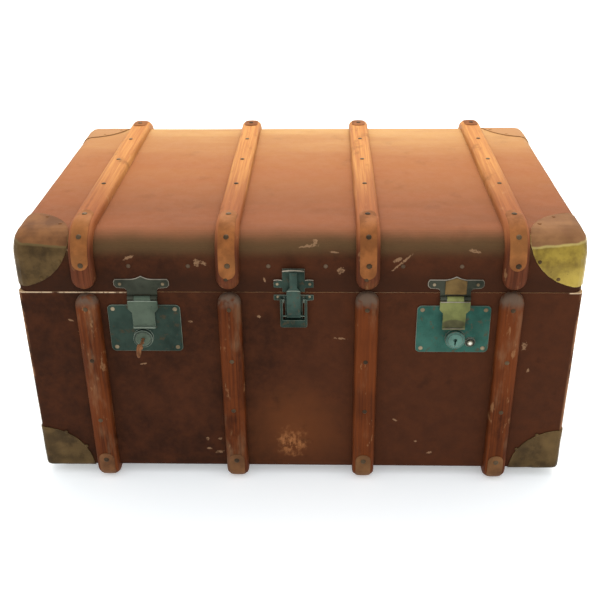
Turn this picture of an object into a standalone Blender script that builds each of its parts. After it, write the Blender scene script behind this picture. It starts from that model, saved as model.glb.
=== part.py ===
"""Steamer trunk: ply case and hinged lid, bentwood slats, brass corner caps, two hasp locks,
a centre draw catch and a carrying handle on each end.

Metres, +Z up. The front faces -Y and +X is to the right. The origin is on the floor, under the
middle of the whole with its key, so the case itself stands SET_BACK behind it.
"""
from math import cos, pi, sin, sqrt

import bmesh
import bpy
from mathutils import Matrix, Vector

# ---- driving dimensions ------------------------------------------------------------------
WIDTH = 0.840            # outside of the ends
DEPTH = 0.540            # outside of the front and back
CLOSE_Z = 0.341          # where the lid meets the case
TOP_Z = 0.432            # outside of the lid's top
BOARD = 0.008            # ply thickness
GAP = 0.0003             # between pieces that touch
INSET = 0.0002           # keeps joined shapes' faces off one another's planes
LID_GAP = 0.0006         # between lid and case

LID_BEND = 0.036         # outside bend at the lid's front and back
LID_END_ROUND = 0.018    # rounding of the lid's two ends
CASE_ROUND = 0.007       # rounding of the case's outer edges

SLAT_WIDTH = 0.035
SLAT_THICK = 0.0150
SLAT_X = (-0.316, -0.1025, 0.1025, 0.316)
STRAP_WIDTH = 0.024
STRAP_THICK = 0.0014
STRAP_RISE = 0.036       # how far a runner strap climbs the front and the back
CASE_SLAT_TOP = {-0.316: CLOSE_Z - 0.001, -0.1025: CLOSE_Z + 0.001, 0.1025: CLOSE_Z + 0.0035,
                 0.316: CLOSE_Z + 0.0035}
LID_SLAT_LOW = CLOSE_Z + 0.0090
BACK_SLAT_STOP = 0.0180  # both runs of slats stop this far from the closing line at the back
LID_STRAP_LOW = {-0.316: CLOSE_Z + 0.0430, -0.1025: CLOSE_Z + 0.0290, 0.1025: CLOSE_Z + 0.0290,
                 0.316: CLOSE_Z + 0.0430}
LID_STRAP_LONG = 0.060   # how far back from the front face a lid strap reaches
BASE_Z = GAP + SLAT_THICK + GAP + STRAP_THICK    # the case's underside, above the floor

LIP_THICK = 0.004
LIP_DEEP = 0.040         # below the closing line
LIP_HIGH = 0.012         # above the closing line
LIP_CLEAR = 0.002        # to the inside of the lid

CAP_THICK = 0.0013
LID_CAP_SIZE = (0.0855, 0.0860, 0.0820)    # reach of a lobe from the corner along x, y, z
CASE_CAP_SIZE = (0.0800, 0.0800, 0.0770)

HINGE_X = (-0.2095, 0.2095)
HINGE_WIDTH = 0.070
HINGE_LEAF = 0.036
HINGE_THICK = 0.002
KNUCKLE_R = 0.0045
HINGE_PIN_R = 0.0020
HINGE_PIN_OUT = 0.001    # a pin's ends, past the knuckles
HINGE_ROUND = 0.006
HINGE_Y = DEPTH / 2 + GAP + KNUCKLE_R

LOCK_X = 0.2325          # centre of each lock and hasp, left and right
LOCK_Z = 0.2800
LOCK_SIZE = (0.110, 0.080)
LOCK_THICK = 0.0016
LOCK_ROUND = 0.007
BOSS_OUT = 0.004         # how far the boss is outward of the lock's centre
BOSS_DROP = 0.0155
BOSS_R = 0.0148
BARREL_R = 0.0110
BOSS_HIGH = 0.0066
BARREL_HIGH = 0.0072
BUTTON_OUT = 0.0270      # from the boss's lock centre, outward
BUTTON_DROP = 0.0215
BUTTON_R = 0.0046
BUTTON_LONG = 0.0032
BUTTON_TRAVEL = 0.0020
WELL_WALL = 0.0032       # round the button
WELL_HIGH = 0.0028
KEYHOLE_R = 0.0028
KEYHOLE_DROP = 0.0086
KEYHOLE_SLOT = 0.0022

KEY_OUT = 0.0430         # from the case's face to the middle of the bow
KEY_IN = 0.0010          # from the lock plate's front to the shank's end
KEY_SHANK_R = 0.0023
KEY_BIT = (0.0014, 0.0048, 0.0080)         # thickness, length and drop of the bit
KEY_COLLAR_R = 0.0042
BOW_R = 0.0085
BOW_WIRE_R = 0.0020

HASP_AXIS_Z = 0.3335
HASP_KNUCKLE_R = 0.0033
HASP_AXIS_OUT = 0.0037   # in front of the face
HASP_PIN_R = 0.0014
HASP_PLATE_HALF = 0.0415
HASP_NECK_HALF = 0.0225
HASP_STRAP_HALF = 0.0170
HASP_END_Z = 0.2830
HASP_PLATE_THICK = 0.0015
HASP_EAR_Z = 0.3632      # top of the plate's ears
HASP_PEAK_Z = 0.3682     # top of the bow between them
HASP_THICK = 0.0018
HASP_SHOULDER = 0.0180   # how far below the axis the strap narrows
HASP_LIP = (0.0040, 0.0035)                # the raised end: forward and high
KNUCKLE_SHARE = 0.55     # of the neck's half width, taken by the hasp's own knuckle

CATCH_X = -0.0065
CATCH_AXIS_Z = 0.3310
CATCH_THROW = 0.0260     # from the lever's pivot to the claw's
CATCH_OUT = 0.0062       # pivots in front of the case
CATCH_PLATE_THICK = 0.0015
CATCH_EAR_HALF = 0.0295
CATCH_PIN_R = 0.0014
KEEPER_HALF = 0.0165
KEEPER_LOW = CLOSE_Z + 0.0015
KEEPER_HIGH = 0.3805
KEEPER_EAR = (0.3490, 0.3500, 0.3590, 0.3625)    # heights of an ear's inner and outer ends
KEEPER_LIP = (0.0085, 0.0020)              # the lip over the claw: forward and high
CATCH_BASE_HALF = 0.0130
CATCH_BASE_LOW = 0.2935
CATCH_BASE_EAR = (0.3280, 0.3290, 0.3375)
LUG = (0.0142, 0.0158)                     # either side of the middle
LUG_HALF = 0.0030
LEVER_HALF = 0.0200
LEVER_WALL = 0.0036
LEVER_THICK = 0.0060
LEVER_TOP = 0.0030       # above the pivot, low enough to clear the base as it swings
LEVER_END_Z = 0.2865
LEVER_SILL = 0.0120      # the solid end of the lever, which is pulled
CLAW_HALF = 0.0125
CLAW_THICK = 0.0016
CLAW_R = 0.0032
CLAW_TOP_Z = 0.3772

HANDLE_Z = 0.2225
HANDLE_HALF = 0.073
HANDLE_DROP = 0.046
HANDLE_PIN_R = 0.0030
GRIP_HALF = 0.030        # the grip's full thickness runs this far from the middle
GRIP_R = 0.0088
HANDLE_OUT = 0.0113      # pivot outside the end board
HANDLE_TURN_IN = 0.0575  # the bail's two ends, from the middle
HANDLE_BEND = 0.016
HANDLE_ELBOW = 0.004
HANDLE_PLATE = (0.164, 0.033, 0.002)       # length, height and thickness
HANDLE_PLATE_ROUND = 0.008
EYE_IN = 0.011           # from the bail's outside to the middle of its eye
EYE_HALF = 0.0030
EYE_R = 0.0066
EYE_CLEAR = 0.0005
THROUGH = 0.01           # how far a cutter runs past what it cuts

SET_BACK = 0.0180        # the key stands out in front: this centres case and key together

FRONT = -DEPTH / 2
BACK = DEPTH / 2
END = WIDTH / 2
FACE = FRONT - GAP       # the plane that front fittings sit on
CATCH_Y = FACE - CATCH_OUT


# ---- scene -------------------------------------------------------------------------------
for old in list(bpy.data.objects):
    bpy.data.objects.remove(old)

parts = bpy.data.collections.new("steamer_trunk")
cutters = bpy.data.collections.new("cutters")
for collection in (parts, cutters):
    bpy.context.scene.collection.children.link(collection)


def paint(name, colour, roughness, metallic=0.0):
    material = bpy.data.materials.new(name)
    material.use_nodes = True
    shader = material.node_tree.nodes["Principled BSDF"]
    shader.inputs["Base Color"].default_value = (*colour, 1.0)
    shader.inputs["Roughness"].default_value = roughness
    shader.inputs["Metallic"].default_value = metallic
    return material


COVER = ((0.075, 0.022, 0.014), 0.55)
WOOD = ((0.30, 0.095, 0.035), 0.45)
BARE_PLY = ((0.34, 0.20, 0.10), 0.7)
STRAP_IRON = ((0.16, 0.085, 0.05), 0.5, 0.7)
CAP_BRASS = ((0.20, 0.13, 0.05), 0.4, 0.9)
PATINA = ((0.04, 0.10, 0.085), 0.55, 0.5)
PATINA_LIGHT = ((0.13, 0.16, 0.08), 0.5, 0.6)
RUSTY = ((0.25, 0.09, 0.045), 0.7, 0.6)
LEATHER = ((0.11, 0.045, 0.022), 0.5)
BRIGHT = ((0.45, 0.45, 0.42), 0.3, 0.9)


# ---- making pieces -----------------------------------------------------------------------
def new_mesh(name, bm):
    bmesh.ops.recalc_face_normals(bm, faces=bm.faces)
    mesh = bpy.data.meshes.new(name)
    bm.to_mesh(mesh)
    bm.free()
    return mesh


def add_piece(name, bm, finish, pivot=None):
    """Makes one named piece. On a pivot, its mesh is moved so that its origin is the pivot."""
    mesh = new_mesh(name, bm)
    piece = bpy.data.objects.new(name, mesh)
    parts.objects.link(piece)
    mesh.materials.append(paint(name, *finish))
    mesh.shade_smooth()
    mesh.set_sharp_from_angle(angle=0.6)
    if pivot:
        mesh.transform(Matrix.Translation(-pivot.matrix_world.translation))
        piece.parent = pivot
    return piece


def add_pivot(name, x, y, z, parent=None):
    pivot = bpy.data.objects.new(name, None)
    parts.objects.link(pivot)
    pivot.location = Vector((x, y, z))
    if parent:
        pivot.location -= parent.matrix_world.translation
        pivot.parent = parent
    bpy.context.view_layer.update()
    return pivot


def add_cutter(bm, name):
    cutter = bpy.data.objects.new(name, new_mesh(name, bm))
    cutters.objects.link(cutter)
    cutter.hide_render = True
    cutter.display_type = "WIRE"
    return cutter


def combine(piece, bm, operation):
    """Adds a Boolean with a tool made from bm: UNION, DIFFERENCE or INTERSECT."""
    step = f"{operation.lower()}_{len(piece.modifiers) + 1}"
    modifier = piece.modifiers.new(step, "BOOLEAN")
    modifier.operation = operation
    modifier.object = add_cutter(bm, f"{piece.name}_{step}")


def box(low, high):
    """A box between two corners."""
    low, high = Vector(low), Vector(high)
    bm = bmesh.new()
    bmesh.ops.create_cube(bm, size=1.0)
    bmesh.ops.scale(bm, vec=high - low, verts=bm.verts)
    bmesh.ops.translate(bm, vec=(low + high) / 2, verts=bm.verts)
    return bm


def rod(start, end, radius, sides=16):
    """A cylinder from start to end."""
    start, end = Vector(start), Vector(end)
    along = end - start
    turn = along.to_track_quat("Z", "Y").to_matrix().to_4x4()
    bm = bmesh.new()
    bmesh.ops.create_cone(bm, cap_ends=True, segments=sides, radius1=radius, radius2=radius,
                          depth=along.length,
                          matrix=Matrix.Translation((start + end) / 2) @ turn)
    return bm


def round_edges(bm, chosen, radius, segments=3):
    edges = [edge for edge in bm.edges if chosen(*(vert.co for vert in edge.verts))]
    bmesh.ops.bevel(bm, geom=edges, offset=radius, offset_type="OFFSET", segments=segments,
                    profile=0.5, affect="EDGES", clamp_overlap=True)
    return bm


def along_y(a, b):
    return abs(a.y - b.y) > abs(a.x - b.x) + abs(a.z - b.z)


def flat_plate(outline, back_y, thickness):
    """A plate on the front, from an outline of (x, z) points; its back lies at back_y."""
    curve = bpy.data.curves.new("outline", "CURVE")
    curve.dimensions = "2D"
    curve.fill_mode = "BOTH"
    curve.extrude = thickness / 2
    spline = curve.splines.new("POLY")
    spline.points.add(len(outline) - 1)
    for point, (x, z) in zip(spline.points, outline):
        point.co = (x, z, 0.0, 1.0)
    spline.use_cyclic_u = True
    guide = bpy.data.objects.new("outline", curve)
    parts.objects.link(guide)
    bpy.context.view_layer.update()
    mesh = bpy.data.meshes.new_from_object(guide.evaluated_get(bpy.context.evaluated_depsgraph_get()))
    bpy.data.objects.remove(guide)
    bm = bmesh.new()
    bm.from_mesh(mesh)
    bpy.data.meshes.remove(mesh)
    bmesh.ops.remove_doubles(bm, verts=bm.verts, dist=1e-6)
    bmesh.ops.dissolve_limit(bm, angle_limit=0.01, verts=bm.verts, edges=bm.edges)
    upright = Matrix.Translation((0, back_y - thickness / 2, 0)) @ Matrix.Rotation(pi / 2, 4, "X")
    bmesh.ops.transform(bm, matrix=upright, verts=bm.verts)
    return bm


def arc(centre, radius, start, stop, steps):
    """Points on a circle, angles in radians, both ends included."""
    turns = [start + (stop - start) * i / steps for i in range(steps + 1)]
    return [(centre[0] + radius * cos(t), centre[1] + radius * sin(t)) for t in turns]


def rounded_outline(half_width, low, high, radius, middle=0.0, steps=4):
    """(x, z) outline of an upright plate with round corners."""
    left, right = middle - half_width + radius, middle + half_width - radius
    corners = ((right, low + radius, -pi / 2), (right, high - radius, 0.0),
               (left, high - radius, pi / 2), (left, low + radius, pi))
    points = []
    for x, z, start in corners:
        points += arc((x, z), radius, start, start + pi / 2, steps)
    return points


# ---- case --------------------------------------------------------------------------------
def case_boards():
    inner_y = DEPTH / 2 - BOARD
    inner_x = END - BOARD

    for name, side in (("case_front_board", -1), ("case_back_board", 1)):
        near, far = sorted((side * DEPTH / 2, side * inner_y))
        board = box((-END, near, BASE_Z), (END, far, CLOSE_Z))
        face = side * DEPTH / 2

        def outer_edge(a, b):
            both_on_face = abs(a.y - face) < 1e-5 and abs(b.y - face) < 1e-5
            both_low = a.z < BASE_Z + 1e-5 and b.z < BASE_Z + 1e-5
            both_high = a.z > CLOSE_Z - 1e-5 and b.z > CLOSE_Z - 1e-5
            same_end = abs(a.x - b.x) < 1e-5
            return (both_on_face and not both_high) or (both_low and same_end)

        add_piece(name, round_edges(board, outer_edge, CASE_ROUND), COVER)

    for name, side in (("case_left_board", -1), ("case_right_board", 1)):
        near, far = sorted((side * END, side * inner_x))
        board = box((near, GAP - inner_y, BASE_Z), (far, inner_y - GAP, CLOSE_Z))

        def low_outer(a, b):
            return along_y(a, b) and a.z < BASE_Z + 1e-5 and abs(a.x - side * END) < 1e-5

        add_piece(name, round_edges(board, low_outer, CASE_ROUND), COVER)

    add_piece("case_bottom_board",
              box((GAP - inner_x, GAP - inner_y, BASE_Z), (inner_x - GAP, inner_y - GAP, BASE_Z + BOARD)),
              COVER)


def closing_lip():
    """A frame inside the case's top that the closed lid drops over."""
    out_x, out_y = END - BOARD - GAP, DEPTH / 2 - BOARD - GAP
    low, high = CLOSE_Z - LIP_DEEP, CLOSE_Z + LIP_HIGH
    step_x, step_y = out_x + GAP - LIP_CLEAR, out_y + GAP - LIP_CLEAR
    in_x, in_y = out_x - LIP_THICK, out_y - LIP_THICK
    lip = add_piece("closing_lip", box((-out_x, -out_y, low), (out_x, out_y, CLOSE_Z)), BARE_PLY)
    combine(lip, box((-step_x, -step_y, low + 0.01), (step_x, step_y, high)), "UNION")
    combine(lip, box((-in_x, -in_y, low - 0.01), (in_x, in_y, high + 0.01)), "DIFFERENCE")


# ---- slats and straps --------------------------------------------------------------------
def bend(centre, radius, start, stop, steps):
    """Stations round a bend: place (y, z) and outward normal (y, z)."""
    turns = [start + (stop - start) * i / steps for i in range(steps + 1)]
    return [(centre[0] + radius * cos(t), centre[1] + radius * sin(t), cos(t), sin(t)) for t in turns]


def lid_path(front_z, back_z, away):
    """Stations over the lid, from its front to its back, at a distance off its surface."""
    radius = LID_BEND + away
    inner_y, inner_z = DEPTH / 2 - LID_BEND, TOP_Z - LID_BEND
    front = [(FRONT - away, front_z, -1.0, 0.0)] + bend((-inner_y, inner_z), radius, pi, pi / 2, 7)
    back = bend((inner_y, inner_z), radius, pi / 2, 0, 7) + [(BACK + away, back_z, 1.0, 0.0)]
    return front + back


def case_path(front_z, back_z, away):
    """Stations under the case, from its back round to its front."""
    radius = CASE_ROUND + away
    inner_y, inner_z = DEPTH / 2 - CASE_ROUND, BASE_Z + CASE_ROUND
    back = [(BACK + away, back_z, 1.0, 0.0)] + bend((inner_y, inner_z), radius, 0, -pi / 2, 5)
    front = bend((-inner_y, inner_z), radius, -pi / 2, -pi, 5) + [(FRONT - away, front_z, -1.0, 0.0)]
    return back + front


def with_round_ends(path, end_round):
    """Adds stations near both ends of a path, where a bar narrows to its round end."""
    def eased(end, following):
        ahead = (Vector(following[:2]) - Vector(end[:2])).normalized() * end_round
        return [(end[0] + ahead.x * part, end[1] + ahead.y * part, end[2], end[3])
                for part in (0.0, 0.12, 0.32, 0.62, 1.0)]

    return eased(path[0], path[1]) + path[1:-1] + eased(path[-1], path[-2])[::-1]


def bent_bar(x, path, section, end_round):
    """Sweeps a section of (across, height) points along a path's stations, with round ends."""
    half = max(across for across, _ in section)
    steps = [(Vector(b[:2]) - Vector(a[:2])).length for a, b in zip(path, path[1:])]
    bm = bmesh.new()
    rings = []
    for i, (y, z, out_y, out_z) in enumerate(path):
        from_end = min(sum(steps[:i]), sum(steps[i:]))
        narrow = 1.0
        if from_end < end_round:
            narrow = max(sqrt(1.0 - (1.0 - from_end / end_round) ** 2), 0.3)
        ring = []
        for across, height in section:
            eased = narrow if height <= GAP else 0.55 + 0.45 * narrow
            rise = GAP + (height - GAP) * eased
            ring.append(bm.verts.new((x + across * narrow, y + out_y * rise, z + out_z * rise)))
        rings.append(ring)
    for ring, following in zip(rings, rings[1:]):
        for i in range(len(ring)):
            j = (i + 1) % len(ring)
            bm.faces.new((ring[i], ring[j], following[j], following[i]))
    bm.faces.new(rings[0])
    bm.faces.new(rings[-1])
    return bm


def slat_section():
    half, thick = SLAT_WIDTH / 2, SLAT_THICK
    return [(half, 0.0), (half, 0.42 * thick), (0.7 * half, 0.93 * thick), (0.0, thick),
            (-0.7 * half, 0.93 * thick), (-half, 0.42 * thick), (-half, 0.0)]


def strap_section():
    """A strap whose underside follows the slat's crown, and whose outside is flat."""
    half = STRAP_WIDTH / 2
    fall = 0.07 * SLAT_THICK * half / (0.35 * SLAT_WIDTH)
    return [(half, GAP - fall), (half, GAP + STRAP_THICK), (-half, GAP + STRAP_THICK),
            (-half, GAP - fall), (0.0, GAP)]


def case_slats():
    for number, x in enumerate(SLAT_X, 1):
        path = case_path(CASE_SLAT_TOP[x], CLOSE_Z - BACK_SLAT_STOP, GAP)
        path = with_round_ends(path, SLAT_WIDTH / 2)
        add_piece(f"case_slat_{number}", bent_bar(x, path, slat_section(), SLAT_WIDTH / 2), WOOD)
        path = case_path(BASE_Z + STRAP_RISE, BASE_Z + STRAP_RISE, GAP + SLAT_THICK)
        path = with_round_ends(path, STRAP_WIDTH / 2)
        add_piece(f"runner_strap_{number}", bent_bar(x, path, strap_section(), STRAP_WIDTH / 2),
                  STRAP_IRON)


def lid_slats(pivot):
    for number, x in enumerate(SLAT_X, 1):
        path = with_round_ends(lid_path(LID_SLAT_LOW, CLOSE_Z + BACK_SLAT_STOP, GAP), SLAT_WIDTH / 2)
        add_piece(f"lid_slat_{number}", bent_bar(x, path, slat_section(), SLAT_WIDTH / 2), WOOD, pivot)
        away = GAP + SLAT_THICK
        back = FRONT + LID_STRAP_LONG
        over_bend = [station for station in lid_path(LID_STRAP_LOW[x], CLOSE_Z, away) if station[0] < back]
        path = with_round_ends(over_bend + [(back, TOP_Z + away, 0.0, 1.0)], STRAP_WIDTH / 2)
        add_piece(f"lid_strap_{number}", bent_bar(x, path, strap_section(), STRAP_WIDTH / 2),
                  STRAP_IRON, pivot)


# ---- lid ---------------------------------------------------------------------------------
def lid_solid(away, low, steps=4):
    """The lid's outside as a solid, its ends rounded over."""
    bm = bmesh.new()
    rings = []
    for x in (-END - away, END + away):
        rings.append(bm.faces.new([bm.verts.new((x, y, z)) for y, z, _, _ in lid_path(low, low, away)]))
    bmesh.ops.bridge_loops(bm, edges=[edge for ring in rings for edge in ring.edges])

    def end_rim(a, b):
        same_end = abs(a.x - b.x) < 1e-5
        return same_end and not (a.z < low + 1e-5 and b.z < low + 1e-5)

    bmesh.ops.recalc_face_normals(bm, faces=bm.faces)
    return round_edges(bm, end_rim, LID_END_ROUND + away, steps)


def keep_between(bm, low_x, high_x):
    """Cuts a closed solid off at two x planes and closes it again."""
    for x, normal in ((low_x, (-1, 0, 0)), (high_x, (1, 0, 0))):
        geometry = list(bm.verts) + list(bm.edges) + list(bm.faces)
        cut = bmesh.ops.bisect_plane(bm, geom=geometry, plane_co=(x, 0, 0), plane_no=normal,
                                     clear_outer=True)
        rim = [item for item in cut["geom_cut"] if isinstance(item, bmesh.types.BMEdge)]
        if rim:
            bmesh.ops.contextual_create(bm, geom=rim)
    return bm


def lid_boards(pivot):
    low = CLOSE_Z + LID_GAP
    inner_x = END - BOARD
    top = add_piece("lid_top_board", keep_between(lid_solid(0.0, low), GAP - inner_x, inner_x - GAP),
                    COVER, pivot)
    hollow = bmesh.new()
    outline = lid_path(low - 0.01, low - 0.01, -BOARD)
    rings = [hollow.faces.new([hollow.verts.new((x, y, z)) for y, z, _, _ in outline])
             for x in (-END, END)]
    bmesh.ops.bridge_loops(hollow, edges=[edge for ring in rings for edge in ring.edges])
    combine(top, hollow, "DIFFERENCE")
    add_piece("lid_left_board", keep_between(lid_solid(0.0, low), -END - 0.01, -inner_x), COVER, pivot)
    add_piece("lid_right_board", keep_between(lid_solid(0.0, low), inner_x, END + 0.01), COVER, pivot)


# ---- corner caps -------------------------------------------------------------------------
def case_solid(away, top):
    """The case's outside as a solid."""
    grown = (END + away, DEPTH / 2 + away, BASE_Z - away)
    bm = box((-grown[0], -grown[1], grown[2]), (grown[0], grown[1], top))

    def lower_edges(a, b):
        return not (a.z > top - 1e-5 and b.z > top - 1e-5)

    return round_edges(bm, lower_edges, CASE_ROUND + away, 3)


def lobes(corner, size):
    bm = bmesh.new()
    bmesh.ops.create_uvsphere(bm, u_segments=36, v_segments=18, radius=1.0)
    bmesh.ops.scale(bm, vec=size, verts=bm.verts)
    bmesh.ops.translate(bm, vec=corner, verts=bm.verts)
    return bm


def corner_caps(lid_pivot):
    sides = (("front_left", -1, -1), ("front_right", 1, -1), ("back_left", -1, 1),
             ("back_right", 1, 1))
    for name, x_side, y_side in sides:
        corner = Vector((x_side * END, y_side * DEPTH / 2, TOP_Z))
        cap = add_piece(f"lid_corner_{name}", lid_solid(GAP + CAP_THICK, CLOSE_Z + 0.004), CAP_BRASS,
                        lid_pivot)
        combine(cap, lobes(corner, LID_CAP_SIZE), "INTERSECT")
        combine(cap, lid_solid(GAP, CLOSE_Z), "DIFFERENCE")

        corner = Vector((x_side * END, y_side * DEPTH / 2, BASE_Z))
        cap = add_piece(f"case_corner_{name}", case_solid(GAP + CAP_THICK, CLOSE_Z), CAP_BRASS)
        combine(cap, lobes(corner, CASE_CAP_SIZE), "INTERSECT")
        combine(cap, case_solid(GAP, CLOSE_Z + 0.01), "DIFFERENCE")


# ---- back hinges -------------------------------------------------------------------------
def back_hinges(lid_pivot):
    part = HINGE_WIDTH / 5
    for name, middle in zip(("left", "right"), HINGE_X):
        left = middle - HINGE_WIDTH / 2
        spans = [(left + i * part, left + (i + 1) * part) for i in range(5)]
        back, face = BACK + GAP + HINGE_THICK, BACK + GAP
        pieces = (("lower_leaf", -1, spans[::2], None), ("upper_leaf", 1, spans[1::2], lid_pivot))
        for leaf_name, side, own_spans, pivot in pieces:
            near = CLOSE_Z + side * (KNUCKLE_R + 0.0008)
            far = CLOSE_Z + side * HINGE_LEAF
            low, high = sorted((near, far))
            leaf = box((left, face, low), (left + HINGE_WIDTH, back, high))
            leaf = round_edges(leaf, lambda a, b: along_y(a, b) and abs(a.z - far) < 1e-5, HINGE_ROUND)
            piece = add_piece(f"hinge_{name}_{leaf_name}", leaf, PATINA, pivot)
            for start, stop in own_spans:
                start, stop = start + GAP, stop - GAP
                low, high = sorted((CLOSE_Z, near + side * 0.004))
                combine(piece, box((start + INSET, face + INSET, low), (stop - INSET, back - INSET, high)),
                        "UNION")
                combine(piece, rod((start, HINGE_Y, CLOSE_Z), (stop, HINGE_Y, CLOSE_Z), KNUCKLE_R),
                        "UNION")
            combine(piece, rod((left - THROUGH, HINGE_Y, CLOSE_Z),
                               (left + HINGE_WIDTH + THROUGH, HINGE_Y, CLOSE_Z),
                               HINGE_PIN_R + GAP, 12), "DIFFERENCE")
        pin = rod((left - HINGE_PIN_OUT, HINGE_Y, CLOSE_Z),
                  (left + HINGE_WIDTH + HINGE_PIN_OUT, HINGE_Y, CLOSE_Z), HINGE_PIN_R, 12)
        add_piece(f"hinge_{name}_pin", pin, BRIGHT)


# ---- locks, key and hasps ----------------------------------------------------------------
def lock(name, side, barrel_pivot):
    middle = side * LOCK_X
    plate_front = FACE - LOCK_THICK
    outline = rounded_outline(LOCK_SIZE[0] / 2, LOCK_Z - LOCK_SIZE[1] / 2, LOCK_Z + LOCK_SIZE[1] / 2,
                              LOCK_ROUND, middle)
    plate = add_piece(f"lock_plate_{name}", flat_plate(outline, FACE, LOCK_THICK), PATINA)
    x, z = middle + side * BOSS_OUT, LOCK_Z - BOSS_DROP
    combine(plate, rod((x, FACE - 2 * INSET, z), (x, plate_front - BOSS_HIGH, z), BOSS_R, 24), "UNION")
    combine(plate, rod((x, plate_front, z), (x, plate_front - BOSS_HIGH - THROUGH, z),
                       BARREL_R + GAP, 24), "DIFFERENCE")

    barrel = add_piece(f"lock_barrel_{name}", rod((x, plate_front - GAP, z),
                                                  (x, plate_front - BARREL_HIGH, z), BARREL_R, 24),
                       PATINA, barrel_pivot)
    back, front = plate_front + THROUGH, plate_front - BARREL_HIGH - THROUGH
    combine(barrel, rod((x, back, z), (x, front, z), KEYHOLE_R, 12), "DIFFERENCE")
    combine(barrel, box((x - KEYHOLE_SLOT / 2, front, z - KEYHOLE_DROP), (x + KEYHOLE_SLOT / 2, back, z)),
            "DIFFERENCE")
    return plate


def release_button(plate, pivot):
    x, z = LOCK_X + BUTTON_OUT, LOCK_Z - BUTTON_DROP
    front = FACE - LOCK_THICK
    combine(plate, rod((x, FACE - 2 * INSET, z), (x, front - WELL_HIGH, z), BUTTON_R + WELL_WALL, 20),
            "UNION")
    combine(plate, rod((x, front, z), (x, front - THROUGH, z), BUTTON_R + GAP, 20), "DIFFERENCE")
    stop = front - BUTTON_TRAVEL - GAP
    add_piece("release_button", rod((x, stop, z), (x, stop - BUTTON_LONG, z), BUTTON_R, 20), BRIGHT,
              pivot)


def key(pivot):
    x, z = -LOCK_X - BOSS_OUT, LOCK_Z - BOSS_DROP
    inside = FACE - LOCK_THICK - KEY_IN
    bow_y = FACE - KEY_OUT
    bow_back = bow_y + BOW_R
    thick, long, drop = KEY_BIT
    shank = rod((x, inside, z), (x, bow_back - BOW_WIRE_R, z), KEY_SHANK_R, 12)
    piece = add_piece("key", shank, RUSTY, pivot)
    bit_end = inside - 2 * INSET
    combine(piece, box((x - thick / 2, bit_end - long, z - drop), (x + thick / 2, bit_end, z)), "UNION")
    bow = bmesh.new()
    across = Matrix.Translation((BOW_R, 0, 0)) @ Matrix.Rotation(pi / 2, 4, "X")
    bmesh.ops.create_circle(bow, segments=10, radius=BOW_WIRE_R, matrix=across)
    bmesh.ops.spin(bow, geom=list(bow.verts) + list(bow.edges), axis=(0, 0, 1), cent=(0, 0, 0),
                   angle=2 * pi, steps=20, use_merge=True)
    upright = Matrix.Translation((x, bow_y, z)) @ Matrix.Rotation(pi / 2, 4, "Y")
    bmesh.ops.transform(bow, matrix=upright, verts=bow.verts)
    combine(piece, bow, "UNION")
    collar = bow_back + BOW_WIRE_R
    combine(piece, rod((x, collar + BOW_WIRE_R / 2, z), (x, collar - BOW_WIRE_R, z), KEY_COLLAR_R, 12),
            "UNION")


def bow_top(middle, half, ear_z, peak_z):
    """Top edge of a hasp plate: two ears and a pointed bow between them, left to right."""
    left = [(middle - half, ear_z - 0.004), (middle - half + 0.0025, ear_z),
            (middle - half * 0.36, ear_z), (middle - half * 0.2, ear_z + 0.0012)]
    right = [(2 * middle - x, z) for x, z in reversed(left)]
    return left + [(middle, peak_z)] + right


def hasp_plate(name, middle, pivot):
    y, z, r = FACE - HASP_AXIS_OUT, HASP_AXIS_Z, HASP_KNUCKLE_R
    half, neck = HASP_PLATE_HALF, HASP_NECK_HALF
    ear_low = CLOSE_Z + 0.0075
    right = [(middle + neck, z), (middle + neck, ear_low - 0.004),
             (middle + neck + 0.003, ear_low - 0.001), (middle + half - 0.004, ear_low),
             (middle + half, ear_low + 0.004)]
    left = [(2 * middle - x, height) for x, height in reversed(right)]
    outline = right + bow_top(middle, half, HASP_EAR_Z, HASP_PEAK_Z)[::-1] + left
    plate = add_piece(f"hasp_plate_{name}", flat_plate(outline, FACE, HASP_PLATE_THICK), PATINA, pivot)
    inner = neck * KNUCKLE_SHARE + GAP
    combine(plate, box((middle - inner, FACE - THROUGH, z - THROUGH),
                       (middle + inner, FACE + THROUGH, z + r + 2 * GAP)), "DIFFERENCE")
    for side in (-1, 1):
        near, far = side * (inner + INSET), side * (neck - INSET)
        combine(plate, rod((middle + near, y, z), (middle + far, y, z), r, 14), "UNION")
    pin_half = neck - 5 * INSET
    combine(plate, rod((middle - pin_half, y, z), (middle + pin_half, y, z), HASP_PIN_R, 10), "UNION")


def hasp(name, middle, pivot):
    y, z, r = FACE - HASP_AXIS_OUT, HASP_AXIS_Z, HASP_KNUCKLE_R
    neck, strap = HASP_NECK_HALF, HASP_STRAP_HALF
    inner = neck * KNUCKLE_SHARE
    front = y - 0.0012
    shoulder = z - HASP_SHOULDER
    cheek = z - r - 0.0008
    right = [(middle + strap, HASP_END_Z), (middle + strap, shoulder - 0.006), (middle + neck, shoulder),
             (middle + neck, cheek), (middle + inner, cheek), (middle + inner, z)]
    left = [(2 * middle - x, height) for x, height in reversed(right)]
    piece = add_piece(f"hasp_{name}", flat_plate(right + left, front, HASP_THICK), PATINA_LIGHT, pivot)
    combine(piece, rod((middle - inner + INSET, y, z), (middle + inner - INSET, y, z), r, 14), "UNION")
    combine(piece, rod((middle - inner - THROUGH, y, z), (middle + inner + THROUGH, y, z),
                       HASP_PIN_R + GAP, 10), "DIFFERENCE")
    forward, high = HASP_LIP
    combine(piece, box((middle - strap + INSET, front - forward, HASP_END_Z + INSET),
                       (middle + strap - INSET, front - HASP_THICK * 2 / 3, HASP_END_Z + high)), "UNION")


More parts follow.
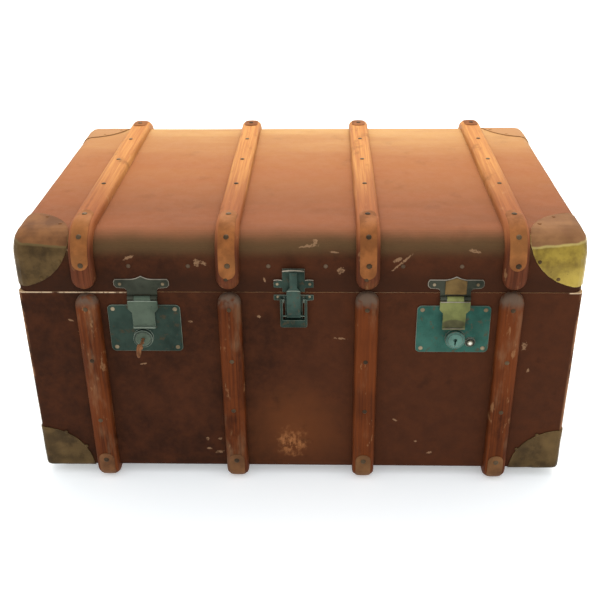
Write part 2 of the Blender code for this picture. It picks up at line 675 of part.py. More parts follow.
# ---- centre draw catch -------------------------------------------------------------------
def catch_keeper(pivot):
    x, half, ear = CATCH_X, KEEPER_HALF, CATCH_EAR_HALF
    in_low, out_low, out_high, in_high = KEEPER_EAR
    right = [(x + half, KEEPER_LOW), (x + half, in_low), (x + ear, out_low), (x + ear, out_high),
             (x + half, in_high), (x + half, KEEPER_HIGH)]
    left = [(2 * x - px, pz) for px, pz in reversed(right)]
    keeper = add_piece("catch_keeper", flat_plate(right + left, FACE, CATCH_PLATE_THICK), PATINA, pivot)
    forward, high = KEEPER_LIP
    combine(keeper, box((x - half + INSET, FACE - forward, KEEPER_HIGH - high),
                        (x + half - INSET, FACE - 2 * INSET, KEEPER_HIGH - INSET)), "UNION")


def catch_base():
    x, half, ear = CATCH_X, CATCH_BASE_HALF, CATCH_EAR_HALF
    y, z = CATCH_Y, CATCH_AXIS_Z
    in_low, out_low, high = CATCH_BASE_EAR
    right = [(x + half, CATCH_BASE_LOW), (x + half, in_low), (x + ear, out_low), (x + ear, high)]
    left = [(2 * x - px, pz) for px, pz in reversed(right)]
    base = add_piece("catch_base", flat_plate(right + left, FACE, CATCH_PLATE_THICK), PATINA)
    middle_of_lug = sum(LUG) / 2
    for side in (-1, 1):
        low, high = sorted((x + side * LUG[0], x + side * LUG[1]))
        combine(base, box((low, y - LUG_HALF, z - LUG_HALF), (high, FACE - 2 * INSET, z + LUG_HALF)),
                "UNION")
        combine(base, rod((x + side * middle_of_lug, y, z), (x + side * (LEVER_HALF - 4 * INSET), y, z),
                          CATCH_PIN_R, 10), "UNION")


def catch_lever(pivot):
    x, y, z = CATCH_X, CATCH_Y, CATCH_AXIS_Z
    outline = rounded_outline(LEVER_HALF, LEVER_END_Z, z + LEVER_TOP, 0.0026, x)
    plate = flat_plate(outline, y + LEVER_THICK / 2, LEVER_THICK)
    lever = add_piece("catch_lever", plate, PATINA, pivot)
    inner = LEVER_HALF - LEVER_WALL
    combine(lever, box((x - inner, y - THROUGH, LEVER_END_Z + LEVER_SILL),
                       (x + inner, y + THROUGH, z + THROUGH)), "DIFFERENCE")
    for side in (-1, 1):
        combine(lever, rod((x + side * (inner - 2 * INSET), y, z),
                           (x + side * (LEVER_HALF - 3 * INSET), y, z), CATCH_PIN_R + GAP, 10),
                "DIFFERENCE")
    pin_z = z - CATCH_THROW
    pin_half = LEVER_HALF - LEVER_WALL / 2
    combine(lever, rod((x - pin_half, y, pin_z), (x + pin_half, y, pin_z), CATCH_PIN_R, 10), "UNION")


def catch_claw(pivot):
    x, y, pin_z = CATCH_X, CATCH_Y, CATCH_AXIS_Z - CATCH_THROW
    outline = rounded_outline(CLAW_HALF, pin_z, CLAW_TOP_Z, 0.0015, x)
    claw = add_piece("catch_claw", flat_plate(outline, y - 2 * INSET, CLAW_THICK), PATINA_LIGHT, pivot)
    half = CLAW_HALF - INSET
    combine(claw, rod((x - half, y, pin_z), (x + half, y, pin_z), CLAW_R, 14), "UNION")
    reach = CLAW_HALF + THROUGH
    combine(claw, rod((x - reach, y, pin_z), (x + reach, y, pin_z), CATCH_PIN_R + GAP, 10),
            "DIFFERENCE")


# ---- end handles -------------------------------------------------------------------------
def handle_plate(name, side):
    face = side * (END + GAP)
    pin_x = side * (END + HANDLE_OUT)
    long, high, thick = HANDLE_PLATE
    low_x, high_x = sorted((face, face + side * thick))
    plate = box((low_x, -long / 2, HANDLE_Z - high / 2), (high_x, long / 2, HANDLE_Z + high / 2))
    rounded = round_edges(plate, lambda a, b: abs(a.x - b.x) > thick / 2, HANDLE_PLATE_ROUND, 4)
    plate = add_piece(f"handle_plate_{name}", rounded, PATINA)
    for eye_side in (-1, 1):
        eye = eye_side * (HANDLE_HALF - EYE_IN)
        low_x, high_x = sorted((face + side * GAP, pin_x))
        stem = EYE_R - INSET / 2
        combine(plate, box((low_x, eye - EYE_HALF, HANDLE_Z - stem),
                           (high_x, eye + EYE_HALF, HANDLE_Z + stem)), "UNION")
        half = EYE_HALF + INSET
        combine(plate, rod((pin_x, eye - half, HANDLE_Z), (pin_x, eye + half, HANDLE_Z), EYE_R, 16),
                "UNION")
        combine(plate, rod((pin_x, eye - THROUGH, HANDLE_Z), (pin_x, eye + THROUGH, HANDLE_Z),
                           HANDLE_PIN_R + EYE_CLEAR, 14), "DIFFERENCE")


def handle(name, side, pivot):
    """A bail in one bent rod, swelling into its grip."""
    grip_z = HANDLE_Z - HANDLE_DROP
    elbow_y = HANDLE_HALF - HANDLE_ELBOW
    path = [(HANDLE_TURN_IN, HANDLE_Z), (elbow_y, HANDLE_Z)]
    path += arc((elbow_y, HANDLE_Z - HANDLE_ELBOW), HANDLE_ELBOW, pi / 2, 0, 2)[1:]
    path += arc((HANDLE_HALF - HANDLE_BEND, grip_z + HANDLE_BEND), HANDLE_BEND, 0, -pi / 2, 5)
    swelling = [1.2, 1.7, 2.2, 2.6]
    widths = [1.0] * (len(path) - len(swelling)) + swelling
    path += [(GRIP_HALF, grip_z), (0.0, grip_z)]
    widths += [GRIP_R / HANDLE_PIN_R] * 2
    path += [(-y, z) for y, z in reversed(path[:-1])]
    widths += widths[-2::-1]
    curve = bpy.data.curves.new("handle", "CURVE")
    curve.dimensions = "3D"
    curve.bevel_depth = HANDLE_PIN_R
    curve.bevel_resolution = 2
    curve.use_fill_caps = True
    spline = curve.splines.new("POLY")
    spline.points.add(len(path) - 1)
    for point, (y, z), width in zip(spline.points, path, widths):
        point.co = (0.0, y, z - HANDLE_Z, 1.0)
        point.radius = width
    curve.materials.append(paint(f"handle_{name}", *LEATHER))
    bail = bpy.data.objects.new(f"handle_{name}", curve)
    parts.objects.link(bail)
    bail.parent = pivot


# ---- assembly ----------------------------------------------------------------------------
lid_pivot = add_pivot("lid_pivot", 0.0, HINGE_Y, CLOSE_Z)
lever_pivot = add_pivot("lever_pivot", CATCH_X, CATCH_Y, CATCH_AXIS_Z)
claw_pivot = add_pivot("claw_pivot", CATCH_X, CATCH_Y, CATCH_AXIS_Z - CATCH_THROW, lever_pivot)
button_pivot = add_pivot("button_pivot", LOCK_X + BUTTON_OUT, FACE - LOCK_THICK, LOCK_Z - BUTTON_DROP)

case_boards()
closing_lip()
case_slats()
lid_boards(lid_pivot)
lid_slats(lid_pivot)
corner_caps(lid_pivot)
back_hinges(lid_pivot)
catch_base()
catch_keeper(lid_pivot)
catch_lever(lever_pivot)
catch_claw(claw_pivot)
for name, side in (("left", -1), ("right", 1)):
    barrel_pivot = add_pivot(f"barrel_pivot_{name}", side * (LOCK_X + BOSS_OUT), FACE, LOCK_Z - BOSS_DROP)
    hasp_pivot = add_pivot(f"hasp_pivot_{name}", side * LOCK_X, FACE - HASP_AXIS_OUT, HASP_AXIS_Z,
                           lid_pivot)
    handle_pivot = add_pivot(f"handle_pivot_{name}", side * (END + HANDLE_OUT), 0.0, HANDLE_Z)
    lock_plate = lock(name, side, barrel_pivot)
    if side > 0:
        release_button(lock_plate, button_pivot)
    else:
        key(barrel_pivot)
    hasp_plate(name, side * LOCK_X, lid_pivot)
    hasp(name, side * LOCK_X, hasp_pivot)
    handle_plate(name, side)
    handle(name, side, handle_pivot)

for thing in list(parts.objects) + list(cutters.objects):
    if not thing.parent:
        thing.location.y += SET_BACK
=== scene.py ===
"""Steamer trunk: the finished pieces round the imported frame, with floor, light and camera.

Shapes are laid out with the case centred on the origin, front to -Y, and moved back by SET_BACK
when each is finished, because the frame's origin allows for the key that stands out in front.
"""
from math import asin, cos, pi, radians, sin, sqrt

import bmesh
import bpy
from mathutils import Matrix, Vector, noise


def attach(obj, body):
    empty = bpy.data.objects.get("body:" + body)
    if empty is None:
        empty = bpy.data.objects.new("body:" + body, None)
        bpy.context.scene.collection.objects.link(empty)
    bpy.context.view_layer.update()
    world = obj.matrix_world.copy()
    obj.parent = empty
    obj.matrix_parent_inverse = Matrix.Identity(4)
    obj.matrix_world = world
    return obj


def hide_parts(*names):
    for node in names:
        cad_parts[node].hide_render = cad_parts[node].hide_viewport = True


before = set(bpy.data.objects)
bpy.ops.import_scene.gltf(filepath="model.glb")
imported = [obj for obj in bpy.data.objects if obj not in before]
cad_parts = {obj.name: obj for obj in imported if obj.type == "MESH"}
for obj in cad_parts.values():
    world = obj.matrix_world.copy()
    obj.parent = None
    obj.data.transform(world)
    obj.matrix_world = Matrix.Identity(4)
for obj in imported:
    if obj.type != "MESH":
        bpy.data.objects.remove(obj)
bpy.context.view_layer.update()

# ---- sizes, in metres --------------------------------------------------------------------
SET_BACK = 0.018
END, FRONT, BACK = 0.42, -0.27, 0.27
BASE_Z, CLOSE_Z, TOP_Z = 0.017, 0.341, 0.432
BOARD = 0.008
LID_LOW = CLOSE_Z + 0.0006
LID_BEND, LID_END_ROUND, CASE_ROUND = 0.036, 0.018, 0.007
# Where the bends turn about: y at the back (the front is its mirror), and z.
LID_TURN_Y, LID_TURN_Z = BACK - LID_BEND, TOP_Z - LID_BEND
CASE_TURN_Y, CASE_TURN_Z = BACK - CASE_ROUND, BASE_Z + CASE_ROUND
GAP = 0.0003
MERGE = 2e-6
SHARP = 0.6
SCREW_HIGH = 0.0014

SLAT_X = (-0.316, -0.1025, 0.1025, 0.316)
SLAT_HALF, SLAT_THICK = 0.0175, 0.015
STRAP_HALF, STRAP_THICK = 0.0122, 0.0013
CASE_SLAT_TOP = (CLOSE_Z - 0.001, CLOSE_Z + 0.001, CLOSE_Z + 0.0035, CLOSE_Z + 0.0035)
LID_SLAT_LOW = CLOSE_Z + 0.009
BACK_STOP = 0.018
LID_STRAP_LOW = (CLOSE_Z + 0.043, CLOSE_Z + 0.029, CLOSE_Z + 0.029, CLOSE_Z + 0.043)
LID_STRAP_LONG = 0.06
RUNNER_RISE = 0.036

LOCK_X, LOCK_Z = 0.2325, 0.28
CATCH_X = -0.0065
HINGE_X = (-0.2095, 0.2095)
HANDLE_Z = 0.2225
# The hasp plate's edge is left as it is below KNUCKLE_TOP, so that the hasp has room to swing.
KNUCKLE_TOP, CLAW_NECK = 0.3385, 0.346
PANEL_HALF, PANEL_LOW, PANEL_HIGH, PANEL_PEAK, PANEL_THICK = 0.0158, 0.3395, 0.3612, 0.3664, 0.0022
HINGE_SCREWS, HINGE_SCREW_Z = (-0.024, 0.0, 0.024), (0.3175, 0.3645)
SCREW_SEAT, NAIL_SEAT = 0.0022, 0.0018

# ---- finishes ----------------------------------------------------------------------------
def add_node(tree, kind, inputs=None, **settings):
    made = tree.nodes.new("ShaderNode" + kind)
    for name, value in settings.items():
        setattr(made, name, value)
    for name, value in (inputs or {}).items():
        socket = made.inputs[name]
        if isinstance(value, bpy.types.NodeSocket):
            tree.links.new(value, socket)
        else:
            socket.default_value = value
    return made


def sums(tree, operation, a, b=0.0):
    return add_node(tree, "Math", {0: a, 1: b}, operation=operation).outputs[0]


def plus(tree, a, b):
    return sums(tree, "ADD", a, b)


def times(tree, a, b):
    return sums(tree, "MULTIPLY", a, b)


def between(tree, value, low, high, to_low=0.0, to_high=1.0):
    """Spreads a value from one range to another, smoothly, and stops at both ends."""
    inputs = {"Value": value, "From Min": low, "From Max": high, "To Min": to_low, "To Max": to_high}
    return add_node(tree, "MapRange", inputs, interpolation_type="SMOOTHSTEP").outputs[0]


def mixed(tree, share, a, b):
    """Colour a, going over to colour b where share is 1."""
    a = (*a, 1.0) if isinstance(a, tuple) else a
    b = (*b, 1.0) if isinstance(b, tuple) else b
    return add_node(tree, "Mix", {0: share, 6: a, 7: b}, data_type="RGBA").outputs[2]


def coat(tree, under, tone, share, strength):
    """A colour with a tone laid over it, as strong as share times strength."""
    return mixed(tree, times(tree, share, strength), under, tone)


def cloudy(tree, where, scale, detail, roughness=0.55, stretch=None):
    """Soft blotches, about 0.3 to 0.7."""
    if stretch:
        where = add_node(tree, "Mapping", {"Vector": where, "Scale": stretch}).outputs[0]
    inputs = {"Vector": where, "Scale": scale, "Detail": detail, "Roughness": roughness}
    return add_node(tree, "TexNoise", inputs).outputs["Fac"]


def spots(tree, where, scale, low, high, stretch=None):
    """Small separate marks: 1 where blotches pass high, 0 below low."""
    return between(tree, cloudy(tree, where, scale, 5.0, 0.65, stretch), low, high)


def patch(tree, where, centre, reach, turn=0.0, ragged=0.35, scale=160.0, fade=0.15):
    """A worn place with ragged edges: an ellipsoid round centre, turned in the front plane."""
    x, y, z = centre
    place = add_node(tree, "Mapping", {"Vector": where, "Location": (x, y + SET_BACK, z),
                                       "Rotation": (0.0, turn, 0.0), "Scale": reach},
                     vector_type="TEXTURE").outputs[0]
    far = add_node(tree, "VectorMath", {0: place}, operation="LENGTH").outputs["Value"]
    edge = times(tree, cloudy(tree, where, scale, 3.0), ragged * 2.0)
    return between(tree, plus(tree, far, edge), 0.9 + ragged + fade, 0.9 + ragged - fade)


def most(tree, masks):
    total = masks[0]
    for mask in masks[1:]:
        total = sums(tree, "MAXIMUM", total, mask)
    return total


def start_finish(name, roughness=0.6, metallic=0.0, specular=0.5, **constants):
    material = bpy.data.materials.new(name)
    material.use_nodes = True
    tree = material.node_tree
    shader = tree.nodes["Principled BSDF"]
    shader.inputs["Roughness"].default_value = roughness
    shader.inputs["Metallic"].default_value = metallic
    shader.inputs["Specular IOR Level"].default_value = specular
    for socket, value in constants.items():
        shader.inputs[socket.replace("_", " ")].default_value = value
    where = add_node(tree, "TexCoord").outputs["Object"]
    return material, tree, shader, where


def set_bump(tree, shader, height, depth, strength=1.0):
    bump = add_node(tree, "Bump", {"Height": height, "Distance": depth, "Strength": strength})
    tree.links.new(bump.outputs[0], shader.inputs["Normal"])


def set_colour(tree, shader, colour, roughness=None):
    tree.links.new(colour, shader.inputs["Base Color"])
    if roughness is not None:
        tree.links.new(roughness, shader.inputs["Roughness"])


# Scuffs on the front, as x, z, half length, half height and turn.
CASE_SCUFFS = (
    (-0.345, 0.292, 0.0055, 0.0016, 0.35), (-0.333, 0.272, 0.004, 0.0016, 0.2),
    (-0.333, 0.267, 0.005, 0.0014, 0.1), (-0.164, 0.291, 0.003, 0.0024, 0.0),
    (-0.15, 0.072, 0.0028, 0.003, 0.0), (-0.129, 0.073, 0.0036, 0.0026, 0.0),
    (-0.132, 0.046, 0.007, 0.0026, -0.15), (-0.148, 0.053, 0.004, 0.0018, 0.0),
    (0.353, 0.206, 0.0022, 0.004, 0.2), (0.343, 0.251, 0.0045, 0.0075, 0.1),
    (0.187, 0.07, 0.003, 0.0018, 0.3), (0.21, 0.048, 0.005, 0.002, -0.3),
    (-0.06, 0.3, 0.003, 0.0022, 0.4), (0.064, 0.262, 0.009, 0.0014, 0.12),
    (0.152, 0.112, 0.004, 0.0016, 0.5), (-0.242, 0.215, 0.006, 0.0014, -0.2),
)
LID_SCUFFS = (
    (-0.142, 0.39, 0.01, 0.0032, 0.35), (-0.149, 0.387, 0.004, 0.0042, 0.0),
    (0.063, 0.377, 0.0058, 0.0052, 0.3), (-0.249, 0.397, 0.007, 0.0024, -0.4),
    (0.017, 0.414, 0.013, 0.0018, -0.1), (0.026, 0.419, 0.0034, 0.0034, 0.0),
    (0.053, 0.406, 0.007, 0.0016, 0.1), (0.152, 0.39, 0.018, 0.0018, -0.75),
    (0.145, 0.394, 0.0075, 0.003, -0.5), (-0.049, 0.362, 0.0016, 0.005, -0.3),
    (0.255, 0.408, 0.009, 0.0026, 0.2), (-0.34, 0.41, 0.012, 0.002, 0.3),
)


def weave(tree, where):
    """Height of a plain canvas weave, a thread about 0.7 mm wide."""
    waves = []
    for direction in ("X", "Y", "Z"):
        inputs = {"Vector": where, "Scale": 220.0, "Distortion": 1.2, "Detail": 1.0}
        made = add_node(tree, "TexWave", inputs, wave_type="BANDS", bands_direction=direction)
        waves.append(made.outputs["Fac"])
    return plus(tree, plus(tree, waves[0], waves[1]), waves[2])


def turning_over(tree, place, blotch):
    """How far round the lid's front bend a point lies: low on the front, higher up and back."""
    lift = plus(tree, plus(tree, place.outputs["Y"], -SET_BACK), place.outputs["Z"])
    return plus(tree, lift, times(tree, blotch, 0.02))


def covering_finish(name, scuffs, lid_faded_and_lit):
    """Varnished canvas: red-brown, blotched and scuffed, fading to tan where it faces up, with painted
    light and shade: a lit top that grows paler towards the back, a shading band round the lid's bend,
    shade low on the lid's front and towards the left end.
    """
    material, tree, shader, where = start_finish(name, specular=0.03)
    deep, mid, warm = (0.027, 0.0098, 0.0048), (0.05, 0.0165, 0.0073), (0.086, 0.027, 0.0115)
    place = add_node(tree, "SeparateXYZ", {0: where})
    height = place.outputs["Z"]
    blotch = cloudy(tree, where, 14.0, 4.0)
    # painted shade: the broad blotches are pushed darker towards the left end (-x) and lighter towards
    # the right, as the light falls
    painted_side_shade = times(tree, place.outputs["X"], 0.62)
    broad = between(tree, plus(tree, cloudy(tree, where, 4.5, 3.0), painted_side_shade), 0.34, 0.62)
    fine = between(tree, cloudy(tree, where, 38.0, 6.0, 0.7), 0.3, 0.72)
    colour = mixed(tree, broad, deep, mid)
    colour = coat(tree, colour, warm, fine, 0.5)
    if lid_faded_and_lit:
        # painted shade: the lid's front darkens towards its lower edge
        shade = times(tree, between(tree, height, 0.388, 0.356), 0.6)
        colour = mixed(tree, shade, colour, (0.027, 0.011, 0.006))
        rise = turning_over(tree, place, blotch)
        # part fading, part painted light: the tan where the lid faces up is painted as lit from above,
        # and grows paler towards the back as a painted glare
        up = between(tree, plus(tree, height, times(tree, blotch, 0.012)), 0.412, 0.437)
        top = times(tree, up, between(tree, rise, 0.153, 0.206))
        back = place.outputs["Y"]
        pale = mixed(tree, between(tree, back, -0.2, 0.06), (0.205, 0.082, 0.042), (0.33, 0.14, 0.06))
        pale = mixed(tree, between(tree, back, 0.03, 0.3), pale, (0.51, 0.315, 0.14))
        streaky = between(tree, cloudy(tree, where, 12.0, 5.0, 0.6, (0.35, 1.6, 1.6)), 0.35, 0.66)
        pale = coat(tree, pale, (0.3, 0.11, 0.052), streaky, 0.35)
        # painted shading: a greenish-brown band round the lid's front bend, where the light falls off
        # between the lit top and the front
        painted_bend_shading = times(tree, between(tree, rise, 0.128, 0.16), between(tree, height, 0.385, 0.41))
        colour = coat(tree, colour, (0.1, 0.058, 0.026), painted_bend_shading, 0.8)
        colour = coat(tree, colour, pale, top, 0.97)
    marks = [patch(tree, where, (x, FRONT + (0.006 if z > 0.4 else 0.0), z), (a, 0.02, b), turn, 1.2,
                   280.0)
             for x, z, a, b, turn in scuffs]
    frayed = spots(tree, where, 240.0, 0.34, 0.5)
    worn = times(tree, most(tree, marks), frayed)
    colour = coat(tree, colour, (0.3, 0.175, 0.095), worn, 0.62)
    if not lid_faded_and_lit:
        glow = patch(tree, where, (-0.012, FRONT, 0.092), (0.056, 0.02, 0.056), 0.0, 0.6, 18.0, 1.3)
        colour = coat(tree, colour, (0.13, 0.041, 0.013), glow, 0.8)
        bald = patch(tree, where, (-0.014, FRONT, 0.067), (0.02, 0.02, 0.022), 0.0, 1.0, 90.0, 0.5)
        bald = times(tree, bald, spots(tree, where, 150.0, 0.38, 0.62, (1.0, 1.0, 0.6)))
        colour = coat(tree, colour, (0.34, 0.135, 0.048), bald, 0.75)
        rim = between(tree, height, CLOSE_Z - 0.0026, CLOSE_Z - 0.0004)
        left = between(tree, place.outputs["X"], -0.235, -0.275)
        right = between(tree, place.outputs["X"], 0.385, 0.4)
        chips = spots(tree, where, 42.0, 0.4, 0.52, (1.0, 1.0, 0.2))
        rim = times(tree, times(tree, rim, chips), most(tree, [left, right]))
        near = between(tree, place.outputs["Y"], FRONT + 0.1, FRONT + 0.03)
        patchy = spots(tree, where, 16.0, 0.5, 0.56)
        rim = times(tree, rim, most(tree, [near, patchy]))
        colour = mixed(tree, rim, colour, (0.62, 0.46, 0.3))
    grime = spots(tree, where, 24.0, 0.56, 0.72)
    share = times(tree, grime, 0.12 if lid_faded_and_lit else 0.35)
    colour = mixed(tree, share, colour, (0.02, 0.009, 0.005))
    corner = sums(tree, "ABSOLUTE", place.outputs["X"])
    rub = times(tree, between(tree, corner, END - 0.0065, END - 0.0012),
               spots(tree, where, 30.0, 0.46, 0.56, (1.0, 1.0, 0.45)))
    by_front = between(tree, place.outputs["Y"], FRONT + SET_BACK + 0.012, FRONT + SET_BACK + 0.002)
    rub = times(tree, rub, by_front)
    colour = coat(tree, colour, (0.4, 0.2, 0.1), rub, 0.7)
    rough = between(tree, fine, 0.0, 1.0, 0.5, 0.68)
    set_colour(tree, shader, colour, rough)
    rumples = times(tree, cloudy(tree, where, 22.0, 5.0), 5.0)
    set_bump(tree, shader, plus(tree, weave(tree, where), rumples), 0.00022, 0.75)
    return material


def wood_finish(name, low, high, front=None, dusty_with_lit_tips=False, gloss=0.42):
    """Varnished bentwood with its grain along the slat; front is its darker colour lower down, painted
    shade on the faces that turn from the light.
    """
    material, tree, shader, where = start_finish(name, specular=0.05)
    place = add_node(tree, "SeparateXYZ", {0: where})
    grain = cloudy(tree, where, 60.0, 6.0, 0.65, (4.5, 0.12, 0.12))
    pores = cloudy(tree, where, 260.0, 3.0, 0.6, (3.5, 0.1, 0.1))
    broad = cloudy(tree, where, 9.0, 3.0, 0.5)
    colour = mixed(tree, between(tree, grain, 0.32, 0.68), low, high)
    # painted light and shade on the lid's slats: paler towards the back as a painted glare, and their
    # front and back faces darkened as painted shade
    if front:
        rise = turning_over(tree, place, cloudy(tree, where, 20.0, 3.0))
        back = between(tree, place.outputs["Y"], -0.2, 0.05)
        toned = mixed(tree, between(tree, grain, 0.32, 0.68), (0.22, 0.07, 0.024), (0.3, 0.11, 0.042))
        colour = mixed(tree, back, toned, colour)
        lower = mixed(tree, between(tree, grain, 0.32, 0.68), front,
                      tuple(part * 2.0 for part in front))
        down = between(tree, rise, 0.195, 0.135)
        behind = between(tree, place.outputs["Z"], 0.425, 0.385)
        colour = mixed(tree, most(tree, [down, behind]), colour, lower)
    stain = times(tree, spots(tree, where, 26.0, 0.55, 0.68, (1.0, 0.5, 0.5)), 0.5)
    colour = mixed(tree, stain, colour, tuple(part * 0.34 for part in low))
    if not front:
        colour = mixed(tree, between(tree, broad, 0.42, 0.66, 0.0, 0.45), colour,
                       tuple(min(part * 1.35, 1.0) for part in high))
    bare = times(tree, spots(tree, where, 85.0, 0.6, 0.68, (1.0, 0.35, 0.35)), 0.26)
    colour = mixed(tree, bare, colour, (0.42, 0.24, 0.11))
    if dusty_with_lit_tips:
        rub = cloudy(tree, where, 30.0, 4.0, 0.6, (1.0, 1.0, 0.3))
        soft = between(tree, rub, 0.52, 0.68, 0.0, 0.18)
        colour = mixed(tree, soft, colour, (0.3, 0.2, 0.11))
        # painted highlight: the slats' upper ends go grey-brown, as if lit from above
        painted_lit_tips = between(tree, place.outputs["Z"], CLOSE_Z - 0.024, CLOSE_Z - 0.006)
        ragged = between(tree, cloudy(tree, where, 70.0, 4.0), 0.3, 0.5)
        colour = coat(tree, colour, (0.105, 0.072, 0.05), times(tree, painted_lit_tips, ragged), 0.85)
    set_colour(tree, shader, colour, between(tree, grain, 0.3, 0.7, gloss, gloss + 0.16))
    set_bump(tree, shader, plus(tree, grain, pores), 0.0005, 0.6)
    return material


def metal_finish(name, dark, mid, bright, metallic, roughness, shine=0.35, flecks=None, places=()):
    """Old sheet metal: blotched, rubbed brighter in spots, with pitting, and toned at places."""
    material, tree, shader, where = start_finish(name, metallic=metallic, specular=0.12)
    blotch = between(tree, cloudy(tree, where, 34.0, 6.0, 0.62), 0.36, 0.66)
    broad = between(tree, cloudy(tree, where, 11.0, 3.0), 0.38, 0.64)
    colour = mixed(tree, blotch, dark, mid)
    colour = coat(tree, colour, bright, broad, shine)
    if flecks:
        colour = coat(tree, colour, flecks, spots(tree, where, 120.0, 0.55, 0.66), 0.7)
    for centre, reach, tone in places:
        toned = mixed(tree, blotch, tuple(part * 0.6 for part in tone), tone)
        colour = mixed(tree, patch(tree, where, centre, reach, 0.0, 0.1, 200.0), colour, toned)
    pits = spots(tree, where, 330.0, 0.62, 0.72)
    colour = coat(tree, colour, tuple(part * 0.4 for part in dark), pits, 0.5)
    set_colour(tree, shader, colour, between(tree, blotch, 0.0, 1.0, roughness + 0.1, roughness - 0.06))
    dents = times(tree, cloudy(tree, where, 45.0, 3.0), 3.0)
    set_bump(tree, shader, sums(tree, "SUBTRACT", dents, pits), 0.0003, 0.7)
    return material


def cap_finish(name, dark, mid, bright, metallic, roughness, paint_dark, paint, painted_crease_highlight):
    """A corner cap: metal low down, with old brown paint left on the lobe that lies on top; the paint
    grows paler towards the back as painted light, and a painted highlight runs along the fold.
    """
    material = metal_finish(name, dark, mid, bright, metallic, roughness, 0.55)
    tree = material.node_tree
    shader = tree.nodes["Principled BSDF"]
    where = add_node(tree, "TexCoord").outputs["Object"]
    place = add_node(tree, "SeparateXYZ", {0: where})
    inward = sums(tree, "SUBTRACT", END, sums(tree, "ABSOLUTE", place.outputs["X"]))
    slope = times(tree, inward, 0.08)
    rise = plus(tree, place.outputs["Z"], slope)
    rise = plus(tree, rise, times(tree, cloudy(tree, where, 60.0, 3.0), 0.004))
    above = between(tree, rise, 0.4215, 0.4235)
    painted = mixed(tree, between(tree, cloudy(tree, where, 26.0, 5.0), 0.35, 0.65), paint_dark, paint)
    # painted light: the paint grows paler towards the back, as the lid's top does
    painted = mixed(tree, between(tree, place.outputs["Y"], 0.0, 0.25), painted, (0.37, 0.195, 0.085))
    metal = shader.inputs["Base Color"].links[0].from_socket
    # painted highlight: a thin bright band along the fold where the paint meets the metal
    edge = times(tree, between(tree, rise, 0.4185, 0.4212), between(tree, rise, 0.424, 0.4216))
    colour = coat(tree, metal, painted, above, 0.95)
    colour = coat(tree, colour, painted_crease_highlight, edge, 0.45)
    tree.links.new(colour, shader.inputs["Base Color"])
    tree.links.new(between(tree, above, 0.0, 1.0, metallic, metallic * 0.1), shader.inputs["Metallic"])
    tree.links.new(between(tree, above, 0.0, 1.0, roughness, 0.62), shader.inputs["Roughness"])
    return material


def leather_finish(name):
    material, tree, shader, where = start_finish(name, specular=0.35)
    blotch = between(tree, cloudy(tree, where, 30.0, 5.0), 0.35, 0.66)
    colour = mixed(tree, blotch, (0.045, 0.018, 0.01), (0.115, 0.045, 0.021))
    creases = add_node(tree, "TexVoronoi", {"Vector": where, "Scale": 420.0}).outputs["Distance"]
    colour = mixed(tree, spots(tree, where, 60.0, 0.58, 0.7), colour, (0.22, 0.12, 0.06))
    set_colour(tree, shader, colour, between(tree, blotch, 0.0, 1.0, 0.55, 0.38))
    set_bump(tree, shader, creases, 0.0004, 0.6)
    return material


def lining_finish(name):
    """Aged cream paper with a fine brown check and stains."""
    material, tree, shader, where = start_finish(name, roughness=0.85, specular=0.15)
    blotch = between(tree, cloudy(tree, where, 7.0, 6.0, 0.6), 0.35, 0.68)
    colour = mixed(tree, blotch, (0.52, 0.4, 0.25), (0.4, 0.285, 0.165))
    facing = add_node(tree, "SeparateXYZ", {0: add_node(tree, "NewGeometry").outputs["Normal"]})
    lines = []
    for direction in ("X", "Y", "Z"):
        inputs = {"Vector": where, "Scale": 19.0, "Distortion": 0.15, "Detail": 1.0}
        made = add_node(tree, "TexWave", inputs, wave_type="BANDS", bands_direction=direction)
        across = sums(tree, "ABSOLUTE", facing.outputs[direction])
        seen = between(tree, across, 0.6, 0.4)
        lines.append(times(tree, between(tree, made.outputs["Fac"], 0.93, 0.985), seen))
    colour = coat(tree, colour, (0.2, 0.11, 0.055), most(tree, lines), 0.35)
    stains = spots(tree, where, 11.0, 0.56, 0.7)
    colour = coat(tree, colour, (0.24, 0.15, 0.08), stains, 0.32)
    set_colour(tree, shader, colour)
    set_bump(tree, shader, cloudy(tree, where, 55.0, 4.0), 0.0006, 0.5)
    return material


BOSS_LEFT = ((-0.2365, FRONT - 0.004, 0.2645), (0.0152, 0.03, 0.0152), (0.062, 0.08, 0.058))
BOSS_RIGHT = ((0.2365, FRONT - 0.004, 0.2645), (0.0152, 0.03, 0.0152), (0.085, 0.18, 0.15))
# painted shade: the right lock plate darkens in the round well round the release button
WELL_RIGHT = ((0.2595, FRONT - 0.004, 0.2585), (0.0082, 0.03, 0.0082), (0.03, 0.034, 0.026))
HASP_LOW = ((0.2325, FRONT - 0.006, 0.2915), (0.02, 0.03, 0.0085), (0.09, 0.084, 0.036))
# painted highlight: a near-white glint on the release button's tip
BUTTON_GLINT = ((0.2595, FRONT - 0.006, 0.2585), (0.0027, 0.03, 0.0027), (0.78, 0.76, 0.66))
CASE_COVER = covering_finish("case_canvas", CASE_SCUFFS, False)
LID_COVER = covering_finish("lid_canvas", LID_SCUFFS, True)
CASE_WOOD = wood_finish("case_slat_wood", (0.052, 0.0125, 0.0036), (0.112, 0.027, 0.006), None, True)
# painted light: the lid slats' top is painted far paler than the case slats' wood, a lit copy of the
# same wood
LID_WOOD = wood_finish("lid_slat_wood", (0.36, 0.14, 0.042), (0.5, 0.245, 0.083), (0.06, 0.017, 0.007))
BARE_WOOD = wood_finish("bare_wood", (0.36, 0.22, 0.11), (0.52, 0.35, 0.19), None, False, 0.7)
STRAP_METAL = metal_finish(
    "strap_metal", (0.155, 0.052, 0.013), (0.255, 0.086, 0.021), (0.3, 0.128, 0.038), 0.0, 0.56)
RUNNER_METAL = metal_finish(
    "runner_metal", (0.09, 0.036, 0.014), (0.165, 0.068, 0.024), (0.2, 0.1, 0.034), 0.0, 0.56)
